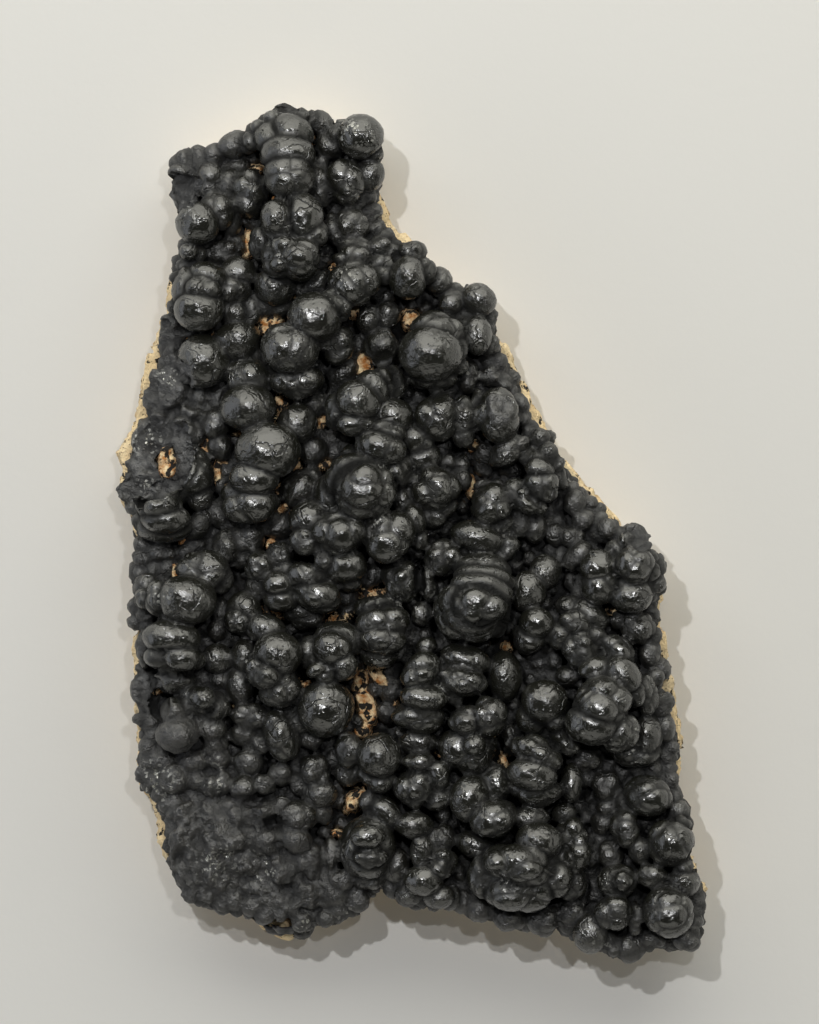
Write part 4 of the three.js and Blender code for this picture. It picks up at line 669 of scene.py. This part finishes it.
# The side domes have no stems of their own: they sit on the stems of the others
SIDE_FOOT = 99.0
shells = np.concatenate([
    dome_shells(np.concatenate([DOMES, gap_domes]), STEM_FOOT),
    dome_shells(side_domes, SIDE_FOOT),
])
shells += 0.22 * np.stack([noise(shells, 4.6, 20 + k) for k in range(3)], -1)
shells[..., 2] += 0.1 * noise(shells, 2.4, 25)

# The sheet between the domes, with its lower edge wavy. Its rings are told as the rock's are
SHEET_RINGS = (
    [(14.5, 4.4, 1.0, share) for share in np.linspace(1, 0, 12)]
    + [(15.6, 2.6, 1.0, 0.0), (16.6, 1.4, 1.0, 0.0), (17.8, 0.8, 1.0, 0.0), (19.0, 0.9, 1.0, 0.0)]
    + [(CREVICE_FLOOR - 0.4, 1.5, 1.0, 0.0)]
    + [(CREVICE_FLOOR, 2.4, 1.0, share) for share in np.linspace(0, 1, 60)]
)
sheet = slab(420, SHEET_RINGS, 9.0)
RIM_RING = 16
rim_places = sheet[RIM_RING] * np.array([1, 1, 0])
sheet[:RIM_RING + 1, :, 2] += 1.5 * noise(rim_places, 6, 33) + 0.8 * noise(rim_places, 2.5, 34)
sheet_rows, sheet_columns = sheet.shape[:2]

# Rough sooty crust that fills what no dome covers: x, y, half length, half width, turn, height
FILLINGS = [
    (-53, -81, 13, 13, 0, 29), (-31, -86, 15, 12, 0, 28.5), (-45, -76, 19, 13, 0, 29.5),
    (9, -87, 12, 7, 10, 25), (52, -92, 20, 14, -15, 24), (-58, -60, 12, 16, 0, 27), (-66, 22, 8, 12, 0, 23),
]
sheet_flat = sheet.reshape(-1, 3)
on_top = sheet_flat[:, 2] > CREVICE_FLOOR - 0.6
level_places = sheet_flat * np.array([1, 1, 0])
rise = 0.8 * noise(level_places, 5, 30) + 0.5 * noise(level_places, 2.2, 31)
for filling in FILLINGS:
    share = np.clip(2 * within(sheet_flat, filling), 0, 1)
    rise = np.maximum(rise, share * (filling[5] - CREVICE_FLOOR + 1.6 * noise(level_places, 4.5, 32)))
sheet_flat[on_top, 2] += rise[on_top]

shell_count, shell_rows, shell_columns = shells.shape[:3]
raw_places = np.concatenate([shells.reshape(-1, 3), sheet_flat])
raw_faces = np.concatenate([
    stacked_faces(shell_count, shell_rows, shell_columns),
    grid_faces(sheet_rows, sheet_columns) + shells.size // 3,
])
crust = new_piece("manganite_crust_skin", raw_places, raw_faces)


def apply_modifiers(piece):
    """Makes the result of a piece's modifiers its own mesh."""
    graph = bpy.context.evaluated_depsgraph_get()
    finished = bpy.data.meshes.new_from_object(piece.evaluated_get(graph))
    old = piece.data
    piece.modifiers.clear()
    piece.data = finished
    bpy.data.meshes.remove(old)


# The shells and the sheet fuse into one closed skin
VOXEL = 0.00048
fuse = crust.modifiers.new("fuse", "REMESH")
fuse.mode = "VOXEL"
fuse.voxel_size = VOXEL
apply_modifiers(crust)

# Broken and flattened faces: x, y, z, outward direction, radius
BREAKS = [
    (-66.5, 19, 24.6, -0.25, 0, 0.97, 11.5), (-61.5, 37, 26.8, -0.4, 0.2, 0.89, 7),
    (-58.4, 85, 23.6, -0.4, 0, 0.92, 5), (-63.4, 48.5, 24.5, -0.8, 0.1, 0.6, 5),
    (57.5, -0.5, 29.5, 0.4, 0.5, 0.77, 4), (21.5, 30.5, 38, 0.2, 0.35, 0.92, 4),
    (-66, -39.5, 27, -0.6, 0.1, 0.8, 4),
]

# Hollows and clefts: x, y, half length, half width, turn, depth
HOLLOWS = [
    (-31, 106.3, 3, 1.6, 0, 8), (-63, -43, 2.8, 4.2, 0, 5), (-34.5, -72.8, 2.6, 2, 0, 6),
    (1.6, -12, 1.2, 5.4, 0, 9), (-7.2, 43.4, 2.6, 1.8, 30, 3),
]

# Patches of fresh, glittering ore: x, y, radius
GLITTERS = [
    (-49, -83, 4.5), (-37.5, -84.5, 3), (-64, -62.5, 5), (-67.5, 23, 3.5), (-67, 13, 2.5), (-61.5, 38, 2.5),
    (-27, -98, 2), (-14, 99.5, 4),
]


def from_break(places, row):
    """The outward direction of a broken face, and how far each place is above it and off its middle."""
    out = np.array(row[3:6])
    out = out / np.linalg.norm(out)
    away = places - np.array(row[:3])
    return out, away @ out, np.hypot(away[:, 0], away[:, 1])


places = mesh_places(crust.data)
for face in BREAKS:
    out, above, aside = from_break(places, face)
    above = above + 0.3 * noise(places, 2.6, 40)
    hit = (aside < face[6] * (1 + 0.2 * noise(places, 3, 41))) & (above > 0)
    places[hit] -= out * above[hit, None]
for hollow in HOLLOWS:
    dip = hollow[5] * np.sqrt(np.clip(within(places, hollow), 0, 1))
    places[:, 2] -= dip * (places[:, 2] > CREVICE_FLOOR + 2)
# Where a knob of rock stands, the low crust opens: its skin goes down below the rock's front
OPENED = 16.4
low = np.flatnonzero((places[:, 2] < 25.5) & (places[:, 2] > 16.5))
ragged = 0.8 * noise(places[low], 1.4, 42)
for knob in KNOBS:
    opened = low[within(places[low], knob) + ragged > -0.3]
    places[opened, 2] = OPENED

crust.data.vertices.foreach_set("co", (places / 1000).astype(np.float32).ravel())
crust.data.update()
normals = mesh_normals(crust.data)


def owners(places, domes):
    """The dome on whose face each place lies, where on it, and how far off it and off the next dome."""
    first = np.full(len(places), 9.0)
    second = np.full(len(places), 9.0)
    owner = np.zeros(len(places), int)
    on_dome = np.zeros_like(places)
    for index, (x, y, half_length, half_width, turn, top) in enumerate(domes):
        reach = 1.25 * max(half_length, half_width)
        near = np.flatnonzero((np.abs(places[:, 0] - x) < reach) & (np.abs(places[:, 1] - y) < reach))
        depth = DOME_DEPTH * (half_length + half_width) / 2
        angle = math.radians(turn)
        away = places[near] - np.array([x, y, top - depth])
        unit = np.column_stack([
            (away[:, 0] * math.cos(angle) + away[:, 1] * math.sin(angle)) / half_length,
            (away[:, 1] * math.cos(angle) - away[:, 0] * math.sin(angle)) / half_width,
            np.maximum(away[:, 2], 0) / depth,
        ])
        off = np.abs(np.linalg.norm(unit, axis=1) - 1) * depth
        closer = off < first[near]
        second[near] = np.where(closer, first[near], np.minimum(second[near], off))
        first[near[closer]] = off[closer]
        owner[near[closer]] = index
        on_dome[near[closer]] = away[closer]
    return owner, on_dome, first, second


all_domes = np.concatenate([DOMES, side_domes, gap_domes])
owner, on_dome, off_dome, off_next = owners(places, all_domes)
radius = all_domes[owner, 2:4].mean(axis=1)
domed = np.clip(1.4 - off_dome, 0, 1) * np.clip((places[:, 2] - 17.5) / 1.5, 0, 1)
crease = np.exp(-((off_next - off_dome) / 0.5) ** 2) * domed
broken = np.zeros(len(places))
for face in BREAKS:
    _, above, aside = from_break(places, face)
    broken = np.maximum(broken, (np.abs(above) < 0.75) * (aside < face[6]))
domed *= 1 - broken

# Most domes are themselves clusters: bulges with sharp creases between them
luck = draw.random((len(all_domes), 4))
shift = (draw.random((len(all_domes), 3)) * 40)[owner]
lobed = np.flatnonzero((luck[owner, 0] < 0.6) & (domed > 0))
wander = 0.4 * noise(on_dome[lobed] + shift[lobed], 3, 57)
finer = 0.6 + 0.35 * luck[owner[lobed], 3]
spread = (on_dome[lobed] + wander[:, None]) / radius[lobed, None] * finer[:, None]
first, second = cells(spread + shift[lobed], 1.0, 50)
seam = np.exp(-((second - first) * radius[lobed] / 0.42) ** 2) * domed[lobed]
dent = -0.32 * crease
dent[lobed] += (0.14 + 0.42 * luck[owner[lobed], 1]) * radius[lobed] * (0.16 - first ** 2) * domed[lobed]
dent[lobed] -= 0.035 * radius[lobed] * seam
crease[lobed] = np.maximum(crease[lobed], 0.75 * seam)

# Growth ledges: arcs round a slanting axis, each a slow rise and a quick step down
axis = draw.normal(size=(len(all_domes), 3))
axis /= np.linalg.norm(axis, axis=1, keepdims=True)
ledged = np.flatnonzero((luck[owner, 2] < 0.6) & (domed > 0))
along = np.einsum("ij,ij->i", on_dome[ledged], axis[owner[ledged]])
along = along / (1.5 + 2.5 * luck[owner[ledged], 2]) + 0.5 * noise(places[ledged], 5, 58)
part = along - np.floor(along)
ledge = np.where(part < 0.8, part / 0.8, (1 - part) / 0.2) - 0.5
dent[ledged] += 0.15 * ledge * np.clip(1.6 * noise(places[ledged], 7, 59) + 0.2, 0, 1) * domed[ledged]

# Grit: on the low crust, on its steep sides, on the rough fillings and on broken faces
rough = np.clip((25.0 - places[:, 2]) / 4, 0, 1) * (1 - 0.6 * domed)
steep = np.clip(1 - 2 * np.abs(normals[:, 2]), 0, 1) * (1 - domed)
rough = np.maximum(rough, 0.5 * steep)
for filling in FILLINGS[:3]:
    share = 0.9 * np.clip(2 * within(places, filling), 0, 1)
    rough = np.maximum(rough, share * np.clip((38 - places[:, 2]) / 8, 0.25, 1))
rough = np.maximum(rough, 0.8 * broken)
upper = np.clip((places[:, 2] - 16.8) / 1.5, 0, 1)
swell = 0.22 * noise(places, 3.6, 52) + 0.07 * noise(places, 1.5, 53)
pits = np.clip(noise(places, 1.5, 54) - 0.4, 0, 1)
grit = 1.2 * noise(places, 2.8, 55) - 1.6 * np.abs(noise(places, 1.9, 56))
grit = grit + 0.7 * noise(places, 1.1, 60) + 0.3
places += normals * (upper * (swell + dent - 0.45 * pits + rough * grit))[:, None]
places[:, :2] = np.clip(places[:, :2], LEAST, MOST)
# The highest domes are eased down to end below the crust's top
EASED_FROM = 46.5
EASED_RISE = 2.2
high = places[:, 2] > EASED_FROM
places[high, 2] = EASED_FROM + EASED_RISE * np.tanh((places[high, 2] - EASED_FROM) / EASED_RISE)
crust.data.vertices.foreach_set("co", (places / 1000).astype(np.float32).ravel())
crust.data.update()

# What the crust's material reads: creases and crevices are rough and darkened as painted shade, and broken
# faces, low domes and the lower left crust are dull. The distance to the rim is worked out once for each
# millimetre of a grid
GRID_HALF = np.array([80, 112])
grid_x, grid_y = np.meshgrid(*(np.arange(-half, half + 1) for half in GRID_HALF), indexing="ij")
near_rim = np.min(np.hypot(grid_x[..., None] - line[:, 0], grid_y[..., None] - line[:, 1]), axis=-1)
grid_column, grid_row = (np.rint(places[:, :2]).astype(int) + GRID_HALF).T
covered = np.clip((near_rim[grid_column, grid_row] - 2) / 3, 0, 1)
# Painted shade: the colour darkens below each dome's top and on the low crust, less so near the rim
sunk = np.clip((all_domes[owner, 5] - places[:, 2] - radius) / 7, 0, 1) * (0.4 + 0.6 * covered)
sunk = np.maximum(sunk, np.clip((24 - places[:, 2]) / 4, 0, 1) * (0.15 + 0.85 * covered))
dull = 0.8 * np.clip((37 - all_domes[owner, 5]) / 9, 0, 1)
for filling in FILLINGS[:3] + FILLINGS[5:6]:
    dull = np.maximum(dull, np.clip(2 * within(places, filling) + 0.5, 0, 1))
# Painted shade also in the pits of the grit. The mark below darkens all these as painted shade and makes them
# rough
hollowed = np.clip(-1.4 * rough * grit - 0.1, 0, 0.9)
mark(crust.data, "soot_and_painted_shade", np.maximum(np.maximum(sunk, crease), hollowed))
mark(crust.data, "dull", np.maximum(dull, broken))
mark(crust.data, "broken", broken)
glitter = 0.6 * np.clip(2.5 * noise(places, 8, 61) - 1.3, 0, 1)
for spot_x, spot_y, spot_reach in GLITTERS:
    off = np.hypot(places[:, 0] - spot_x, places[:, 1] - spot_y) / spot_reach
    glitter = np.maximum(glitter, np.clip(1.4 - off + 0.6 * noise(places, 2.5, 62), 0, 1))
mark(crust.data, "glitter", glitter)

TRIANGLES = 192000
crust.data.calc_loop_triangles()
thin = crust.modifiers.new("thin", "DECIMATE")
thin.ratio = min(1.0, TRIANGLES / len(crust.data.loop_triangles))
apply_modifiers(crust)
crust.data.polygons.foreach_set("use_smooth", np.ones(len(crust.data.polygons), bool))

# Botryoidal manganese ore, as grown: near-black, submetallic and satin on the domes, rough with painted shade
# in the crevices
ore, tree, ore_out = blank_material("botryoidal_manganese_ore")
where = add(tree, "TexCoord").outputs["Object"]
crease_soot_and_shade = add(tree, "Attribute", attribute_name="soot_and_painted_shade").outputs["Fac"]
dull_value = add(tree, "Attribute", attribute_name="dull").outputs["Fac"]
broken_value = add(tree, "Attribute", attribute_name="broken").outputs["Fac"]
glitter_value = add(tree, "Attribute", attribute_name="glitter").outputs["Fac"]
# Growth seams too thin for the mesh: the edges of wavy cells, in some places only
swirl = add(tree, "TexNoise", {"Vector": where, "Scale": 1000 / 4, "Detail": 2.0})
swirled = add(tree, "VectorMath", {0: swirl.outputs["Color"], 1: (0.0045, 0.0045, 0.0045), 2: where},
              operation="MULTIPLY_ADD")
seams = add(tree, "TexVoronoi", {"Vector": swirled, "Scale": 1000 / 6.5}, feature="DISTANCE_TO_EDGE")
beside_seam = add(tree, "MapRange", {"Value": seams, "From Max": 0.045})
seam_cloud = add(tree, "TexNoise", {"Vector": where, "Scale": 1000 / 8, "Detail": 2.0})
seam_places = add(tree, "MapRange", {"Value": seam_cloud, "From Min": 0.5, "From Max": 0.62})
seam_height = add(tree, "Mix", {"Factor": seam_places, "A": 1.0, "B": beside_seam})
# Painted shade: the growth seams are darkened in colour, and made rougher
seam_soot_and_shade = add(tree, "MapRange", {"Value": seam_height, "To Min": 0.4, "To Max": 0.0})
soot_and_shade_value = add(tree, "Math", {0: crease_soot_and_shade, 1: seam_soot_and_shade}, operation="MAXIMUM").outputs[0]
cloud = add(tree, "TexNoise", {"Vector": where, "Scale": 1000 / 14, "Detail": 3.0})
skin_shade = add(tree, "Mix", {"Factor": cloud, "A": linear("#191915"), "B": linear("#23231e")},
                 data_type="RGBA")
granules = add(tree, "TexNoise", {"Vector": where, "Scale": 1000 / 1.6, "Detail": 4.0, "Roughness": 0.7})
granule = add(tree, "MapRange", {"Value": granules, "From Min": 0.38, "From Max": 0.64})
granule_shade = add(tree, "Mix", {"Factor": granule, "A": linear("#10100f"), "B": linear("#282622")},
                    data_type="RGBA")
dull_shade = add(tree, "Mix", {"Factor": dull_value, "A": skin_shade, "B": granule_shade}, data_type="RGBA")
half_broken = add(tree, "Math", {0: broken_value, 1: 0.5}, operation="MULTIPLY")
broken_shade = add(tree, "Mix", {"Factor": half_broken, "A": dull_shade, "B": linear("#3a3a3a")},
                   data_type="RGBA")
# Painted shade: creases, crevices, grit pits and growth seams darkened towards near-black
soot_and_shade_colour = add(tree, "Mix", {"Factor": soot_and_shade_value, "A": broken_shade, "B": linear("#0b0b0a")},
                  data_type="RGBA")
sheen = add(tree, "TexNoise", {"Vector": where, "Scale": 1000 / 3, "Detail": 4.0})
satin = add(tree, "MapRange", {"Value": sheen, "From Min": 0.3, "From Max": 0.7,
                               "To Min": 0.13, "To Max": 0.28})
finish = add(tree, "Mix", {"Factor": dull_value, "A": satin, "B": 0.38})
sooty_finish = add(tree, "Mix", {"Factor": soot_and_shade_value, "A": finish, "B": 0.8})
# Fresh crystals: cells, of which some are bare, each a flat mirror of its own slant
facets = add(tree, "TexVoronoi", {"Vector": where, "Scale": 1000 / 0.7})
shares = add(tree, "SeparateColor", {"Color": facets.outputs["Color"]})
bare = add(tree, "MapRange", {"Value": shares.outputs["Red"], "From Min": 0.82, "From Max": 0.86})
fresh = add(tree, "Math", {0: bare, 1: glitter_value}, operation="MULTIPLY").outputs[0]
fresh_shade = add(tree, "Mix", {"Factor": fresh, "A": soot_and_shade_colour, "B": linear("#b9b9b4")}, data_type="RGBA")
fresh_finish = add(tree, "Mix", {"Factor": fresh, "A": sooty_finish, "B": 0.1})
gloss = add(tree, "MapRange", {"Value": soot_and_shade_value, "To Min": 0.5, "To Max": 0.08})
dull_gloss = add(tree, "Mix", {"Factor": dull_value, "A": gloss, "B": 0.45})
lumps = add(tree, "TexNoise", {"Vector": where, "Scale": 1000 / 0.8, "Detail": 2.0, "Roughness": 0.65})
patchy = add(tree, "TexNoise", {"Vector": where, "Scale": 1000 / 5, "Detail": 2.0})
rougher = add(tree, "MapRange", {"Value": patchy, "From Min": 0.4, "From Max": 0.62,
                                 "To Min": 0.3})
lump_height = add(tree, "Math", {0: lumps, 1: rougher}, operation="MULTIPLY")
lumpy = add(tree, "Bump", {"Height": lump_height, "Distance": 0.00022})
pocks = add(tree, "TexVoronoi", {"Vector": where, "Scale": 1000 / 1.4})
pock = add(tree, "MapRange", {"Value": pocks, "From Min": 0.06, "From Max": 0.26})
pock_height = add(tree, "Math", {0: pock, 1: rougher}, operation="MULTIPLY")
pocked = add(tree, "Bump", {"Height": pock_height, "Distance": 0.0002, "Normal": lumpy})
seamed = add(tree, "Bump", {"Height": seam_height, "Distance": 0.0002, "Normal": pocked})
granule_height = add(tree, "Math", {0: granule, 1: dull_value}, operation="MULTIPLY")
granular = add(tree, "Bump", {"Height": granule_height, "Distance": 0.00014, "Normal": seamed})
slant = add(tree, "VectorMath", {0: facets.outputs["Color"], 1: (0.5, 0.5, 0.5)}, operation="SUBTRACT")
lean = add(tree, "VectorMath", {0: slant, "Scale": fresh}, operation="SCALE")
leaning = add(tree, "VectorMath", {0: lean, 1: granular}, operation="ADD")
faceted = add(tree, "VectorMath", {0: leaning}, operation="NORMALIZE")
ore_skin = add(tree, "BsdfPrincipled", {
    "Base Color": fresh_shade, "Roughness": fresh_finish, "IOR": 2.05,
    "Specular IOR Level": dull_gloss, "Metallic": fresh, "Normal": faceted,
})
tree.links.new(ore_skin.outputs[0], ore_out.inputs["Surface"])
crust.data.materials.append(ore)
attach(crust, "root")
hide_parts("manganite_crust")
